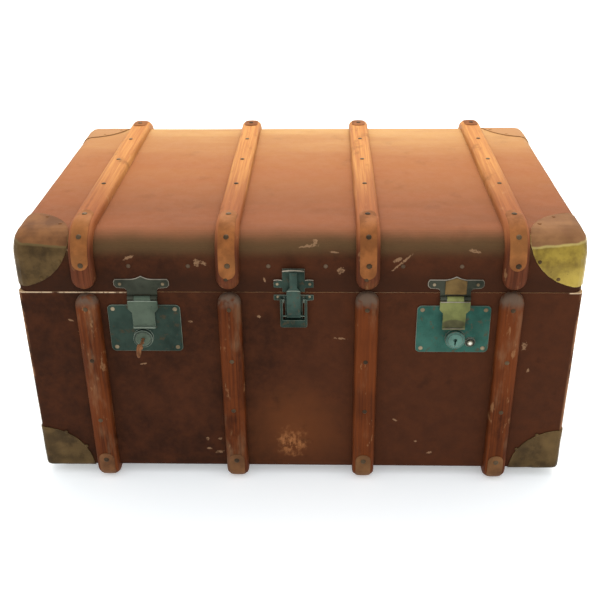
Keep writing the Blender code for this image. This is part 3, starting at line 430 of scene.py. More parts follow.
# The last colour of each cap finish is the painted highlight along the fold.
CAP_DULL = cap_finish(
    "cap_brass_dull", (0.038, 0.022, 0.0075), (0.088, 0.052, 0.018), (0.15, 0.09, 0.032), 0.3, 0.5,
    (0.11, 0.045, 0.017), (0.195, 0.084, 0.03), (0.18, 0.125, 0.05))
CAP_BRIGHT = cap_finish(
    "cap_brass_bright", (0.11, 0.068, 0.014), (0.27, 0.19, 0.032), (0.48, 0.36, 0.085), 0.55, 0.36,
    (0.15, 0.066, 0.028), (0.215, 0.102, 0.044), (0.52, 0.42, 0.17))
# painted highlight: much brighter metals for the caps' rounded rims
CAP_RIM_GLINT_DULL = metal_finish(
    "cap_rim_glint_dull", (0.16, 0.11, 0.045), (0.26, 0.185, 0.08), (0.38, 0.29, 0.14), 0.5, 0.42)
CAP_RIM_GLINT_BRIGHT = metal_finish(
    "cap_rim_glint_bright", (0.42, 0.32, 0.11), (0.62, 0.5, 0.2), (0.78, 0.68, 0.34), 0.6, 0.34)
PATINA_DARK = metal_finish(
    "patina_dark", (0.008, 0.017, 0.012), (0.017, 0.034, 0.025), (0.034, 0.06, 0.045), 0.15, 0.48, 0.4,
    (0.05, 0.034, 0.016), (BOSS_LEFT,))
PATINA_TEAL = metal_finish(
    "patina_teal", (0.01, 0.048, 0.036), (0.018, 0.082, 0.062), (0.044, 0.125, 0.096), 0.15, 0.46, 0.45,
    (0.07, 0.044, 0.022), (BOSS_RIGHT, WELL_RIGHT))
PATINA_GREY = metal_finish(
    "patina_grey", (0.026, 0.042, 0.028), (0.05, 0.072, 0.05), (0.095, 0.12, 0.086), 0.2, 0.44, 0.5)
PATINA_BROWN = metal_finish(
    "patina_brown", (0.014, 0.016, 0.01), (0.03, 0.034, 0.022), (0.056, 0.06, 0.042), 0.15, 0.48, 0.5)
PATINA_PALE = metal_finish(
    "patina_pale", (0.06, 0.12, 0.098), (0.09, 0.185, 0.15), (0.18, 0.29, 0.24), 0.3, 0.42, 0.5)
PATINA_OLIVE = metal_finish(
    "patina_olive", (0.095, 0.102, 0.034), (0.148, 0.158, 0.05), (0.23, 0.245, 0.085), 0.15, 0.42, 0.5,
    None, (HASP_LOW,))
PATINA_CLAW = metal_finish(
    "patina_claw", (0.008, 0.02, 0.015), (0.018, 0.042, 0.032), (0.08, 0.125, 0.1), 0.15, 0.42, 0.35,
    (0.06, 0.048, 0.03))
WORN_EDGE = metal_finish(
    "worn_edge", (0.11, 0.095, 0.07), (0.23, 0.205, 0.16), (0.4, 0.35, 0.28), 0.35, 0.42, 0.5)
WORN_GREEN = metal_finish(
    "worn_green", (0.07, 0.095, 0.07), (0.15, 0.18, 0.14), (0.29, 0.32, 0.26), 0.35, 0.42, 0.5)
BRONZE = metal_finish(
    "bronze", (0.07, 0.04, 0.013), (0.12, 0.072, 0.023), (0.17, 0.108, 0.038), 0.35, 0.45, 0.45)
NAIL_DARK = metal_finish(
    "nail_dark", (0.026, 0.016, 0.009), (0.065, 0.04, 0.02), (0.15, 0.1, 0.055), 0.5, 0.44, 0.5)
NAIL_DULL = metal_finish(
    "nail_dull", (0.045, 0.027, 0.016), (0.08, 0.05, 0.03), (0.15, 0.1, 0.062), 0.45, 0.46, 0.6)
NAIL_PALE = metal_finish(
    "nail_pale", (0.095, 0.068, 0.036), (0.19, 0.145, 0.085), (0.33, 0.27, 0.18), 0.4, 0.4, 0.6)
RUST = metal_finish(
    "rust", (0.09, 0.034, 0.013), (0.21, 0.082, 0.032), (0.36, 0.17, 0.075), 0.3, 0.6, 0.5)
STEEL = metal_finish(
    "old_steel", (0.05, 0.042, 0.034), (0.115, 0.095, 0.075), (0.23, 0.2, 0.165), 0.75, 0.42, 0.5)
BUTTON = metal_finish(
    "button_brass", (0.11, 0.1, 0.07), (0.2, 0.185, 0.135), (0.32, 0.3, 0.23), 0.45, 0.3, 0.6, None,
    (BUTTON_GLINT,))
LEATHER = leather_finish("grip_leather")
LINING = lining_finish("lining_paper")


# ---- shaping helpers ---------------------------------------------------------------------
def finish(name, bm, body, materials, replaces, smooth=0.7):
    """Turns a bmesh into a finished piece, in its place and riding on its body."""
    bmesh.ops.remove_doubles(bm, verts=bm.verts, dist=MERGE)
    bmesh.ops.recalc_face_normals(bm, faces=bm.faces)
    bmesh.ops.translate(bm, vec=(0.0, SET_BACK, 0.0), verts=bm.verts)
    mesh = bpy.data.meshes.new(name)
    bm.to_mesh(mesh)
    bm.free()
    mesh.shade_smooth()
    mesh.set_sharp_from_angle(angle=smooth)
    for material in materials if isinstance(materials, (list, tuple)) else [materials]:
        mesh.materials.append(material)
    piece = bpy.data.objects.new(name, mesh)
    bpy.context.scene.collection.objects.link(piece)
    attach(piece, body)
    if replaces:
        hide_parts(*replaces)


def from_node(node):
    """A merged copy of a CAD node's shape, back on the case's own centre."""
    bm = bmesh.new()
    bm.from_mesh(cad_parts[node].data)
    bmesh.ops.translate(bm, vec=(0.0, -SET_BACK, 0.0), verts=bm.verts)
    bmesh.ops.remove_doubles(bm, verts=bm.verts, dist=MERGE)
    bmesh.ops.dissolve_limit(bm, angle_limit=0.01, verts=bm.verts, edges=bm.edges)
    return bm


def round_over(bm, edges, width, segments, clamp=False, edge_finish=0):
    """Rounds edges; the new narrow faces take the finish numbered edge_finish."""
    made = bmesh.ops.bevel(bm, geom=edges, offset=width, offset_type="OFFSET", segments=segments,
                           profile=0.5, material=-1, affect="EDGES", clamp_overlap=clamp)
    for face in made["faces"]:
        face.material_index = edge_finish


def sharp_edges(bm, angle):
    return [edge for edge in bm.edges if len(edge.link_faces) == 2 and edge.calc_face_angle() > angle]


def soften(bm, width, segments=2, angle=SHARP, edge_finish=0):
    """Rounds every sharp edge a little."""
    round_over(bm, sharp_edges(bm, angle), width, segments, True, edge_finish)
    return bm


def wear_outline(bm, width, clamp, above):
    """Rounds the outline of a plate's front faces widely, in the finish of its worn edge."""
    edges = [edge for edge in sharp_edges(bm, SHARP)
             if min(face.normal.y for face in edge.link_faces) < -0.98
             and min(vert.co.z for vert in edge.verts) > above]
    round_over(bm, edges, width, 2, clamp, 1)


def straight(vector, steps=1):
    return {"cent": (0, 0, 0), "angle": 0.0, "dvec": Vector(vector) / steps, "steps": steps}


def turn(y, z, degrees, steps):
    return {"cent": (0, y, z), "angle": radians(degrees), "dvec": (0, 0, 0), "steps": steps}


def over_lid(steps):
    """Round the lid's front bend, across its top in so many steps, and round its back bend."""
    return [turn(-LID_TURN_Y, LID_TURN_Z, -90, 12), straight((0, 2 * LID_TURN_Y, 0), steps),
            turn(LID_TURN_Y, LID_TURN_Z, -90, 12)]


def under_case():
    return [turn(-CASE_TURN_Y, CASE_TURN_Z, 90, 8), straight((0, 2 * CASE_TURN_Y, 0), 6),
            turn(CASE_TURN_Y, CASE_TURN_Z, 90, 8)]


def carry(bm, section, course):
    """Carries a section along straight runs and bends; returns the section at the far end."""
    for step in course:
        section = bmesh.ops.spin(bm, geom=section, axis=(1, 0, 0), **step)["geom_last"]
    return section


def section_ring(bm, points, origin, across, out):
    """A closed loop of edges from (across, out) points."""
    verts = [bm.verts.new(origin + across * a + out * h) for a, h in points]
    edges = [bm.edges.new((verts[i - 1], verts[i])) for i in range(len(verts))]
    return verts + edges


def edges_of(geometry):
    return [item for item in geometry if isinstance(item, bmesh.types.BMEdge)]


def verts_of(geometry):
    return [item for item in geometry if isinstance(item, bmesh.types.BMVert)]


def slice_at(bm, place, normal):
    geometry = list(bm.verts) + list(bm.edges) + list(bm.faces)
    bmesh.ops.bisect_plane(bm, geom=geometry, plane_co=place, plane_no=normal, dist=1e-5)


def cut_grid(bm, spacing, low, high):
    """Cuts flat faces into a grid, so that they can be shaped."""
    for axis in range(3):
        count = int((high[axis] - low[axis]) / spacing[axis])
        for i in range(1, count):
            place, normal = Vector(), Vector()
            place[axis] = low[axis] + (high[axis] - low[axis]) * i / count
            normal[axis] = 1.0
            slice_at(bm, place, normal)


def nail(bm, place, out, radius, height):
    """A domed head."""
    aim = Vector(out).to_track_quat("Z", "Y").to_matrix().to_4x4()
    shape = Matrix.Diagonal((radius, radius, height, 1.0))
    bmesh.ops.create_uvsphere(bm, u_segments=12, v_segments=6, radius=1.0,
                              matrix=Matrix.Translation(place) @ aim @ shape)


def screw(bm, place, out, radius=0.0036):
    """A raised head with a sunk middle."""
    aim = Vector(out).to_track_quat("Z", "Y").to_matrix().to_4x4()
    at = Matrix.Translation(place) @ aim
    disc = bmesh.ops.create_cone(bm, cap_ends=True, segments=16, radius1=radius, radius2=radius * 0.72,
                                 depth=SCREW_HIGH * 2, matrix=at)["verts"]
    faces = {face for vert in disc for face in vert.link_faces}
    top = max(faces, key=lambda face: face.calc_center_median().dot(Vector(out)))
    bmesh.ops.inset_individual(bm, faces=[top], thickness=radius * 0.12, depth=-SCREW_HIGH * 0.25)


# ---- case and lid ------------------------------------------------------------------------
def rumple(bm, depth, keep=lambda place: True):
    """Moves a surface in and out a little, as board and canvas do with age."""
    bm.normal_update()
    moves = []
    for vert in bm.verts:
        if keep(vert.co):
            wave = noise.noise(vert.co * 9.0) + 0.5 * noise.noise(vert.co * 23.0)
            moves.append((vert, vert.normal * wave * depth))
    for vert, move in moves:
        vert.co += move


def wall(bm, open_z, thickness):
    """Opens a solid at one height, thickens it inwards, and marks the inside and the rim."""
    gone = [face for face in bm.faces if all(abs(vert.co.z - open_z) < 1e-5 for vert in face.verts)]
    bmesh.ops.delete(bm, geom=gone, context="FACES")
    bmesh.ops.recalc_face_normals(bm, faces=bm.faces)
    outer = set(bm.faces)
    bmesh.ops.solidify(bm, geom=list(bm.faces), thickness=thickness)
    for face in bm.faces:
        if face not in outer:
            flat = all(abs(vert.co.z - open_z) < 1e-4 for vert in face.verts)
            face.material_index = 2 if flat else 1


def case_shell():
    bm = bmesh.new()
    size = Vector((2 * END, BACK - FRONT, CLOSE_Z - BASE_Z))
    bmesh.ops.create_cube(bm, size=1.0, matrix=Matrix.Translation((0, 0, (BASE_Z + CLOSE_Z) / 2))
                          @ Matrix.Diagonal((*size, 1.0)))
    rounded = [edge for edge in bm.edges if min(vert.co.z for vert in edge.verts) < CLOSE_Z - 0.01]
    round_over(bm, rounded, CASE_ROUND, 4)
    cut_grid(bm, (0.018, 0.03, 0.018), (-END, FRONT, BASE_Z), (END, BACK, CLOSE_Z))
    rumple(bm, 0.00035, lambda place: BASE_Z + 0.008 < place.z < CLOSE_Z - 0.004)
    wall(bm, CLOSE_Z, BOARD)
    boards = ["case_front_board", "case_back_board", "case_left_board", "case_right_board",
              "case_bottom_board"]
    finish("case_covering", bm, "case", [CASE_COVER, LINING, BARE_WOOD], boards)


def lid_shell():
    bm = bmesh.new()
    start = bm.verts.new((-END, FRONT, LID_LOW))
    side = LID_TURN_Z - LID_LOW
    last = carry(bm, [start], [straight((0, 0, side)), *over_lid(4), straight((0, 0, -side))])
    bm.edges.new((verts_of(last)[0], start))
    face = bmesh.ops.contextual_create(bm, geom=list(bm.edges))["faces"][0]
    made = bmesh.ops.extrude_face_region(bm, geom=[face])["geom"]
    bmesh.ops.translate(bm, vec=(2 * END, 0, 0), verts=verts_of(made))
    bmesh.ops.recalc_face_normals(bm, faces=bm.faces)
    rims = [edge for edge in bm.edges if abs(edge.verts[0].co.x - edge.verts[1].co.x) < 1e-6
            and max(vert.co.z for vert in edge.verts) > LID_LOW + 1e-5]
    round_over(bm, rims, LID_END_ROUND, 6)
    cut_grid(bm, (0.018, 0.018, 0.018), (-END, FRONT, LID_LOW), (END, BACK, TOP_Z))
    rumple(bm, 0.00045, lambda place: place.z > LID_LOW + 0.004)
    wall(bm, LID_LOW, BOARD)
    boards = ["lid_top_board", "lid_left_board", "lid_right_board"]
    finish("lid_covering", bm, "lid", [LID_COVER, LINING, BARE_WOOD], boards)


def closing_lip():
    bm = soften(from_node("closing_lip"), 0.0012)
    finish("closing_tongue", bm, "case", BARE_WOOD, ["closing_lip"])


# ---- slats and straps --------------------------------------------------------------------
SLAT_HALF_SECTION = ((0.0175, 0.0), (0.0175, 0.0045), (0.0173, 0.0078), (0.0163, 0.0106),
                     (0.0142, 0.0128), (0.0108, 0.0141), (0.006, 0.0148), (0.0, 0.015))


def crown(across):
    """Height of a slat's face at a distance from its middle."""
    across = abs(across)
    points = SLAT_HALF_SECTION[::-1]
    for (near, high), (far, low) in zip(points, points[1:]):
        if across <= far and far > near:
            return high + (low - high) * (across - near) / (far - near)
    return 0.0


def slat_points():
    right = list(SLAT_HALF_SECTION)
    return right + [(-a, h) for a, h in right[-2::-1]]


def strap_points():
    spread = [STRAP_HALF * i / 4 for i in range(-4, 5)]
    under = [(a, crown(a) + 0.0001) for a in spread]
    over = [(a, crown(a) + STRAP_THICK - (0.0004 if abs(a) == STRAP_HALF else 0.0))
            for a in reversed(spread)]
    return under + over


def tip_share(deep, radius):
    """How much of its width a bar keeps this deep into its half-round tip."""
    return sqrt(max(1.0 - (1.0 - deep / radius) ** 2, 0.0025))


def round_off(bm, tip_z, way, radius, middle, face_y, hug=False):
    """Shapes an upright bar's end at tip_z into a half circle; hug keeps a strap on its slat."""
    side = -1.0 if face_y < 0 else 1.0
    for vert in bm.verts:
        deep = (vert.co.z - tip_z) * way
        if -1e-5 <= deep < radius and vert.co.y * side > 0.2:
            share = tip_share(deep, radius)
            across = vert.co.x - middle
            vert.co.x = middle + across * share
            if hug:
                vert.co.y += side * (crown(across * share) - crown(across))
            else:
                vert.co.y = face_y + (vert.co.y - face_y) * (0.45 + 0.55 * share)


def end_runs(length, radius, way):
    """Short steps over a bar's round end, then one long one."""
    parts = (0.03, 0.09, 0.2, 0.36, 0.62, 1.0)
    steps, before = [], 0.0
    for part in parts:
        steps.append(straight((0, 0, way * radius * (part - before))))
        before = part
    rest = length - radius
    return steps + [straight((0, 0, way * rest / 4))] * 4


def bar(points, x, start, course):
    """A bar with closed ends, its section carried along a course that starts upright."""
    bm = bmesh.new()
    out = Vector((0, -1 if start[0] < 0 else 1, 0))
    ring = section_ring(bm, points, Vector((x, start[0], start[1])), Vector((1, 0, 0)), out)
    first = edges_of(ring)
    last = carry(bm, ring, course)
    bmesh.ops.contextual_create(bm, geom=first)
    bmesh.ops.contextual_create(bm, geom=edges_of(last))
    return bm


def turned_round(steps):
    """The same straight steps, each taken the other way."""
    return [dict(step, dvec=-Vector(step["dvec"])) for step in steps]


def backwards(steps):
    return turned_round(reversed(steps))


def lid_slats():
    back_low = CLOSE_Z + BACK_STOP
    for number, x in enumerate(SLAT_X, 1):
        up = end_runs(LID_TURN_Z - LID_SLAT_LOW, SLAT_HALF, 1)
        down = backwards(end_runs(LID_TURN_Z - back_low, SLAT_HALF, 1))
        course = up + over_lid(24) + down
        bm = bar(slat_points(), x, (FRONT - GAP, LID_SLAT_LOW), course)
        round_off(bm, LID_SLAT_LOW, 1, SLAT_HALF, x, FRONT - GAP)
        round_off(bm, back_low, 1, SLAT_HALF, x, BACK + GAP)
        finish(f"lid_slat_{number}_wood", bm, "lid", LID_WOOD, [f"lid_slat_{number}"])


def case_slats():
    back_top = CLOSE_Z - BACK_STOP
    for number, (x, top) in enumerate(zip(SLAT_X, CASE_SLAT_TOP), 1):
        down = end_runs(top - CASE_TURN_Z, SLAT_HALF, -1)
        up = backwards(end_runs(back_top - CASE_TURN_Z, SLAT_HALF, -1))
        course = down + under_case() + up
        bm = bar(slat_points(), x, (FRONT - GAP, top), course)
        round_off(bm, top, -1, SLAT_HALF, x, FRONT - GAP)
        round_off(bm, back_top, -1, SLAT_HALF, x, BACK + GAP)
        finish(f"case_slat_{number}_wood", bm, "case", CASE_WOOD, [f"case_slat_{number}"])


def strap_tip(bm, tip_y, way, radius, middle):
    """Rounds the end of a strap that lies flat on the lid."""
    for vert in bm.verts:
        deep = (vert.co.y - tip_y) * way
        if -1e-5 <= deep < radius and vert.co.z > TOP_Z:
            share = tip_share(deep, radius)
            across = vert.co.x - middle
            vert.co.x = middle + across * share
            vert.co.z += crown(across * share) - crown(across)


def lid_straps():
    flat = LID_STRAP_LONG - LID_BEND
    flat_run = [straight((0, part * flat, 0)) for part in (0.2, 0.3, 0.25, 0.13, 0.07, 0.05)]
    reach = FRONT + LID_STRAP_LONG
    for number, (x, low) in enumerate(zip(SLAT_X, LID_STRAP_LOW), 1):
        course = end_runs(LID_TURN_Z - low, STRAP_HALF, 1)
        course += [turn(-LID_TURN_Y, LID_TURN_Z, -90, 12)] + flat_run
        bm = bar(strap_points(), x, (FRONT - GAP, low), course)
        round_off(bm, low, 1, STRAP_HALF, x, FRONT - GAP, True)
        strap_tip(bm, reach, -1, STRAP_HALF, x)
        finish(f"lid_strap_{number}_front", bm, "lid", STRAP_METAL, [f"lid_strap_{number}"])
        low = CLOSE_Z + BACK_STOP + 0.02
        course = end_runs(LID_TURN_Z - low, STRAP_HALF, 1)
        course += [turn(LID_TURN_Y, LID_TURN_Z, 90, 12)] + turned_round(flat_run)
        bm = bar(strap_points(), x, (BACK + GAP, low), course)
        round_off(bm, low, 1, STRAP_HALF, x, BACK + GAP, True)
        strap_tip(bm, -reach, 1, STRAP_HALF, x)
        finish(f"lid_strap_{number}_back", bm, "lid", STRAP_METAL, ())


def runner_straps():
    top = BASE_Z + RUNNER_RISE
    for number, x in enumerate(SLAT_X, 1):
        down = end_runs(top - CASE_TURN_Z, STRAP_HALF, -1)
        course = down + under_case() + backwards(down)
        bm = bar(strap_points(), x, (FRONT - GAP, top), course)
        round_off(bm, top, -1, STRAP_HALF, x, FRONT - GAP, True)
        round_off(bm, top, -1, STRAP_HALF, x, BACK + GAP, True)
        finish(f"runner_strap_{number}_metal", bm, "case", RUNNER_METAL, [f"runner_strap_{number}"])


# ---- nails on slats, straps and lid ------------------------------------------------------
LID_TOP_NAILS = (0.131, 0.02, -0.097)
CASE_FRONT_NAILS = (0.319, 0.229, 0.138)
STRAP_TOP_NAIL, BEND_NAIL_LEAN = 0.226, 43
LID_EDGE_NAIL_Z = 0.384
SLAT_FACE = SLAT_THICK + GAP


def slat_nails():
    lid, case = bmesh.new(), bmesh.new()
    bend_reach = LID_BEND + SLAT_FACE + STRAP_THICK
    for number, x in enumerate(SLAT_X):
        for y in LID_TOP_NAILS:
            nail(lid, (x, y, TOP_Z + SLAT_FACE), (0, 0, 1), 0.0038, 0.0012)
        for y in (-STRAP_TOP_NAIL, STRAP_TOP_NAIL):
            nail(lid, (x, y, TOP_Z + SLAT_FACE + STRAP_THICK), (0, 0, 1), 0.0042, 0.0015)
        for side in (-1, 1):
            out = Vector((0, side * cos(radians(BEND_NAIL_LEAN)), sin(radians(BEND_NAIL_LEAN))))
            nail(lid, Vector((x, side * LID_TURN_Y, LID_TURN_Z)) + out * bend_reach, out, 0.004, 0.0016)
        front = FRONT - SLAT_FACE - STRAP_THICK
        nail(lid, (x + 0.001, front, 0.392), (0, -1, 0), 0.0042, 0.002)
        if number in (1, 2):
            nail(lid, (x - 0.002, front + STRAP_THICK, 0.37), (0, -1, 0), 0.0036, 0.0017)
        nail(lid, (x, -front, CLOSE_Z + BACK_STOP + 0.026), (0, 1, 0), 0.004, 0.0018)
        for z in CASE_FRONT_NAILS:
            sway = 0.003 * noise.noise(Vector((x * 9, z * 31, 0.5)))
            nail(case, (x + sway, front + STRAP_THICK, z - (0.02 if number == 0 and z < 0.15 else 0)),
                 (0, -1, 0), 0.0036, 0.0015)
            nail(case, (x + sway, -front - STRAP_THICK, z - 0.014), (0, 1, 0), 0.0036, 0.0015)
        for y, out in ((front, (0, -1, 0)), (-front, (0, 1, 0))):
            nail(case, (x, y, 0.041), out, 0.0042, 0.002)
    finish("lid_slat_nails", lid, "lid", NAIL_DARK, ())
    finish("case_slat_nails", case, "case", NAIL_DARK, ())


def lid_edge_nails():
    """The small nails that fix the lid's inner frame, along its front, ends and back."""
    bm = bmesh.new()
    for x in (-0.249, -0.161, -0.043, 0.041, 0.1535, 0.239):
        nail(bm, (x, FRONT, LID_EDGE_NAIL_Z), (0, -1, 0), 0.0034, 0.0016)
        nail(bm, (x, BACK, LID_EDGE_NAIL_Z), (0, 1, 0), 0.0034, 0.0016)
    for y in (-0.12, -0.04, 0.04, 0.12):
        for side in (-1, 1):
            nail(bm, (side * END, y, LID_EDGE_NAIL_Z), (side, 0, 0), 0.0034, 0.0016)
    finish("lid_edge_nails", bm, "lid", NAIL_DULL, ())


# ---- corner caps -------------------------------------------------------------------------
CAPS = (("front_left", -1, -1), ("front_right", 1, -1), ("back_left", -1, 1), ("back_right", 1, 1))


def press_cap(bm, corner, lid):
    """Dents the sheet a little and, on a lid cap, raises the fold where its top lobe turns over."""
    bm.normal_update()
    moves = []
    for vert in bm.verts:
        far = vert.co - corner
        wave = 0.00045 * noise.noise(vert.co * 34.0) + 0.0003 * noise.noise(vert.co * 70.0)
        fold = 0.0
        if lid and abs(far.x) > 0.012:
            fold = 0.0016 * max(0.0, 1.0 - abs(vert.co.z - 0.4195) / 0.011)
        lift = max(wave + fold, -0.0004)
        moves.append((vert, vert.normal * lift))
    for vert, move in moves:
        vert.co += move


def corner_caps():
    for name, x_side, y_side in CAPS:
        for part, z, body in (("lid", TOP_Z, "lid"), ("case", BASE_Z, "case")):
            node = f"{part}_corner_{name}"
            bm = from_node(node)
            corner = Vector((x_side * END, y_side * BACK, z))
            # the rounded rim faces take the second finish, a painted highlight
            soften(bm, 0.0006, 2, 0.9, 1)
            bmesh.ops.triangulate(bm, faces=bm.faces)
            low, high = Vector(corner), Vector(corner)
            for vert in bm.verts:
                low = Vector(map(min, low, vert.co))
                high = Vector(map(max, high, vert.co))
            cut_grid(bm, (0.006, 0.006, 0.006), low, high)
            press_cap(bm, corner, part == "lid" and y_side < 0)
            metals = [CAP_DULL, CAP_RIM_GLINT_DULL]
            if node == "lid_corner_front_right":
                metals = [CAP_BRIGHT, CAP_RIM_GLINT_BRIGHT]
            finish(f"{node}_cap", bm, body, metals, [node], 0.6)


def cap_nails():
    """Nails just inside the rim of every lobe."""
    groups = {"lid": bmesh.new(), "case": bmesh.new()}
    thick = 0.0017
    for _, x_side, y_side in CAPS:
        for body, z, up in (("lid", TOP_Z, -1), ("case", BASE_Z, 1)):
            bm = groups[body]
            for along, rise in ((0.07, 0.04), (0.04, 0.068)):
                nail(bm, (x_side * (END - along), y_side * (BACK + thick), z + up * rise),
                     (0, y_side, 0), 0.003, 0.0012)
                nail(bm, (x_side * (END + thick), y_side * (BACK - along), z + up * rise),
                     (x_side, 0, 0), 0.003, 0.0012)
            for across, back in ((0.066, 0.042), (0.04, 0.068)) if body == "lid" else ():
                nail(bm, (x_side * (END - across), y_side * (BACK - back), TOP_Z + thick),
                     (0, 0, 1), 0.003, 0.0012)
    finish("lid_cap_nails", groups["lid"], "lid", CAP_DULL, ())
    finish("case_cap_nails", groups["case"], "case", CAP_DULL, ())


# ---- locks, hasps, catch, hinges, handles ------------------------------------------------
SIDES = ("left", "right")
PLAIN_FITTINGS = (
    ("lock_plate_left", "case", PATINA_DARK, WORN_GREEN, 0.0006, "lock_brass"),
    ("lock_plate_right", "case", PATINA_TEAL, WORN_EDGE, 0.0006, "lock_brass"),
    ("lock_barrel_left", "lock_barrel_left", PATINA_GREY, WORN_GREEN, 0.0006, "lock_brass"),
    ("lock_barrel_right", "lock_barrel_right", PATINA_PALE, PATINA_PALE, 0.0006, "lock_brass"),
    ("release_button", "release_button", BUTTON, BUTTON, 0.001, "button_brass"),
    ("key", "key", RUST, RUST, 0.0003, "key_iron"),
    *[(f"handle_plate_{side}", "case", STEEL, STEEL, 0.0005, "hinge_steel") for side in SIDES],
    *[(f"hinge_{side}_{part}", body, STEEL, STEEL, 0.0003, "hinge_steel")
      for part, body in (("lower_leaf", "case"), ("upper_leaf", "lid"), ("pin", "case"))
      for side in SIDES],
)
RIMMED_FITTINGS = (
    ("hasp_plate_left", "lid", PATINA_BROWN, WORN_EDGE, 0.0011),
    ("hasp_plate_right", "lid", PATINA_BROWN, WORN_EDGE, 0.0011),
    ("hasp_left", "hasp_left", PATINA_GREY, WORN_GREEN, 0.0011),
    ("hasp_right", "hasp_right", PATINA_OLIVE, WORN_GREEN, 0.0011),
    ("catch_base", "case", PATINA_DARK, WORN_GREEN, 0.0008),
    ("catch_keeper", "lid", PATINA_DARK, WORN_EDGE, 0.001),
    ("catch_lever", "catch_lever", PATINA_DARK, WORN_GREEN, 0.001),
)


def fittings():
    for node, body, metal, edge, width, slot in PLAIN_FITTINGS:
        bm = soften(from_node(node), width, edge_finish=1)
        finish(f"{node}_finished", bm, body, [metal, edge], [node], 0.6)
    for node, body, metal, edge, width in RIMMED_FITTINGS:
        bm = from_node(node)
        bm.normal_update()
        plate = node.startswith("hasp_plate")
        wear_outline(bm, width, not plate, KNUCKLE_TOP if plate else 0.0)
        finish(f"{node}_finished", bm, body, [metal, edge], [node], 0.6)


def catch_claw():
    """The link that the lever pulls down: wide between the lever's sides, a narrow finger above."""
    bm = from_node("catch_claw")
    for z in (0.338, CLAW_NECK, 0.352):
        slice_at(bm, (0, 0, z), (0, 0, 1))
    for vert in bm.verts:
        share = 0.82 if vert.co.z < CLAW_NECK else 0.44
        vert.co.x = CATCH_X + (vert.co.x - CATCH_X) * share
    bm.normal_update()
    soften(bm, 0.0005, 2, 0.6, 1)
    finish("catch_claw_finished", bm, "catch_claw", [PATINA_CLAW, WORN_GREEN], ["catch_claw"],
           0.6)


def arched_bead(bm, x, z, half, rise, out, radius):
    """A thin rod that rises a little in the middle, lying on a plate."""
    reach = (half * half + rise * rise) / (2 * rise)
    swing = 2 * asin(half / reach)
    first = bmesh.ops.create_circle(bm, cap_ends=False, segments=8, radius=radius,
                                    matrix=Matrix.Translation((x - half, out, z - rise))
                                    @ Matrix.Rotation(pi / 2, 4, "Y"))["verts"]
    edges = list({edge for vert in first for edge in vert.link_edges})
    last = bmesh.ops.spin(bm, geom=first + edges, cent=(x, out, z - reach), axis=(0, 1, 0),
                          angle=swing, steps=10)["geom_last"]
    bmesh.ops.contextual_create(bm, geom=edges)
    bmesh.ops.contextual_create(bm, geom=edges_of(last))


def worn_ribs():
    """The bright rubbed ribs: over the catch keeper, at the hasps' knuckles and on their lips."""
    bm = bmesh.new()
    arched_bead(bm, CATCH_X, 0.3812, 0.016, 0.0012, FRONT - 0.0088, 0.001)
    for side in (-1, 1):
        arched_bead(bm, CATCH_X + side * 0.0232, 0.3628, 0.0062, 0.001, FRONT - 0.0022, 0.0008)
    finish("catch_keeper_bead", bm, "lid", WORN_EDGE, ())
    for name, side, metal in (("left", -1, WORN_GREEN), ("right", 1, WORN_EDGE)):
        bm = bmesh.new()
        arched_bead(bm, side * LOCK_X, 0.285, 0.016, 0.0002, FRONT - 0.009, 0.0009)
        arched_bead(bm, side * LOCK_X, 0.329, 0.0215, 0.0002, FRONT - 0.007, 0.0009)
        finish(f"hasp_{name}_ribs", bm, f"hasp_{name}", metal, ())
    bm = bmesh.new()
    arched_bead(bm, CATCH_X, 0.3478, 0.0096, 0.0008, FRONT - 0.0086, 0.0009)
    finish("catch_claw_rib", bm, "catch_claw", WORN_GREEN, ())


def small_fixings():
    """Nails and screws of the locks, hasp plates, catch, hinges and handle plates."""
    case, lid = bmesh.new(), bmesh.new()
    for side, hinge_x in zip((-1, 1), HINGE_X):
        for across in (-0.047, 0.047):
            for up in (-0.033, 0.033):
                nail(case, (side * LOCK_X + across, FRONT - NAIL_SEAT, LOCK_Z + up), (0, -1, 0),
                     0.0036, 0.0015)
        for across in (-0.032, 0.032):
            nail(lid, (side * LOCK_X + across, FRONT - 0.0017, 0.355), (0, -1, 0), 0.0027, 0.0012)
        for across in HINGE_SCREWS:
            for bm, z in zip((case, lid), HINGE_SCREW_Z):
                screw(bm, (hinge_x + across, BACK + SCREW_SEAT, z), (0, 1, 0))
        for y in (-0.075, 0.075):
            screw(case, (side * (END + SCREW_SEAT), y, HANDLE_Z), (side, 0, 0), 0.0038)
    for across in (-0.024, 0.024):
        nail(lid, (CATCH_X + across, FRONT - NAIL_SEAT, 0.3555), (0, -1, 0), 0.0024, 0.0012)
        nail(case, (CATCH_X + across * 0.98, FRONT - NAIL_SEAT, 0.3345), (0, -1, 0), 0.0022, 0.001)
    finish("case_fixings", case, "case", NAIL_PALE, ())
    finish("lid_fixings", lid, "lid", NAIL_PALE, ())


def bronze_panel():
    """The raised panel in the middle of the right hasp plate, with a low gable at its top."""
    bm = bmesh.new()
    outline = [(-PANEL_HALF, PANEL_LOW), (PANEL_HALF, PANEL_LOW), (PANEL_HALF, PANEL_HIGH),
               (0.0, PANEL_PEAK), (-PANEL_HALF, PANEL_HIGH)]
    verts = [bm.verts.new((LOCK_X + across, FRONT - 0.0012, z)) for across, z in outline]
    face = bm.faces.new(verts)
    grown = bmesh.ops.extrude_face_region(bm, geom=[face])["geom"]
    bmesh.ops.translate(bm, vec=(0, -PANEL_THICK, 0), verts=verts_of(grown))
    bmesh.ops.recalc_face_normals(bm, faces=bm.faces)
    soften(bm, 0.0007, 3, 0.6, 1)
    finish("hasp_plate_right_panel", bm, "lid", [BRONZE, BRONZE], ())


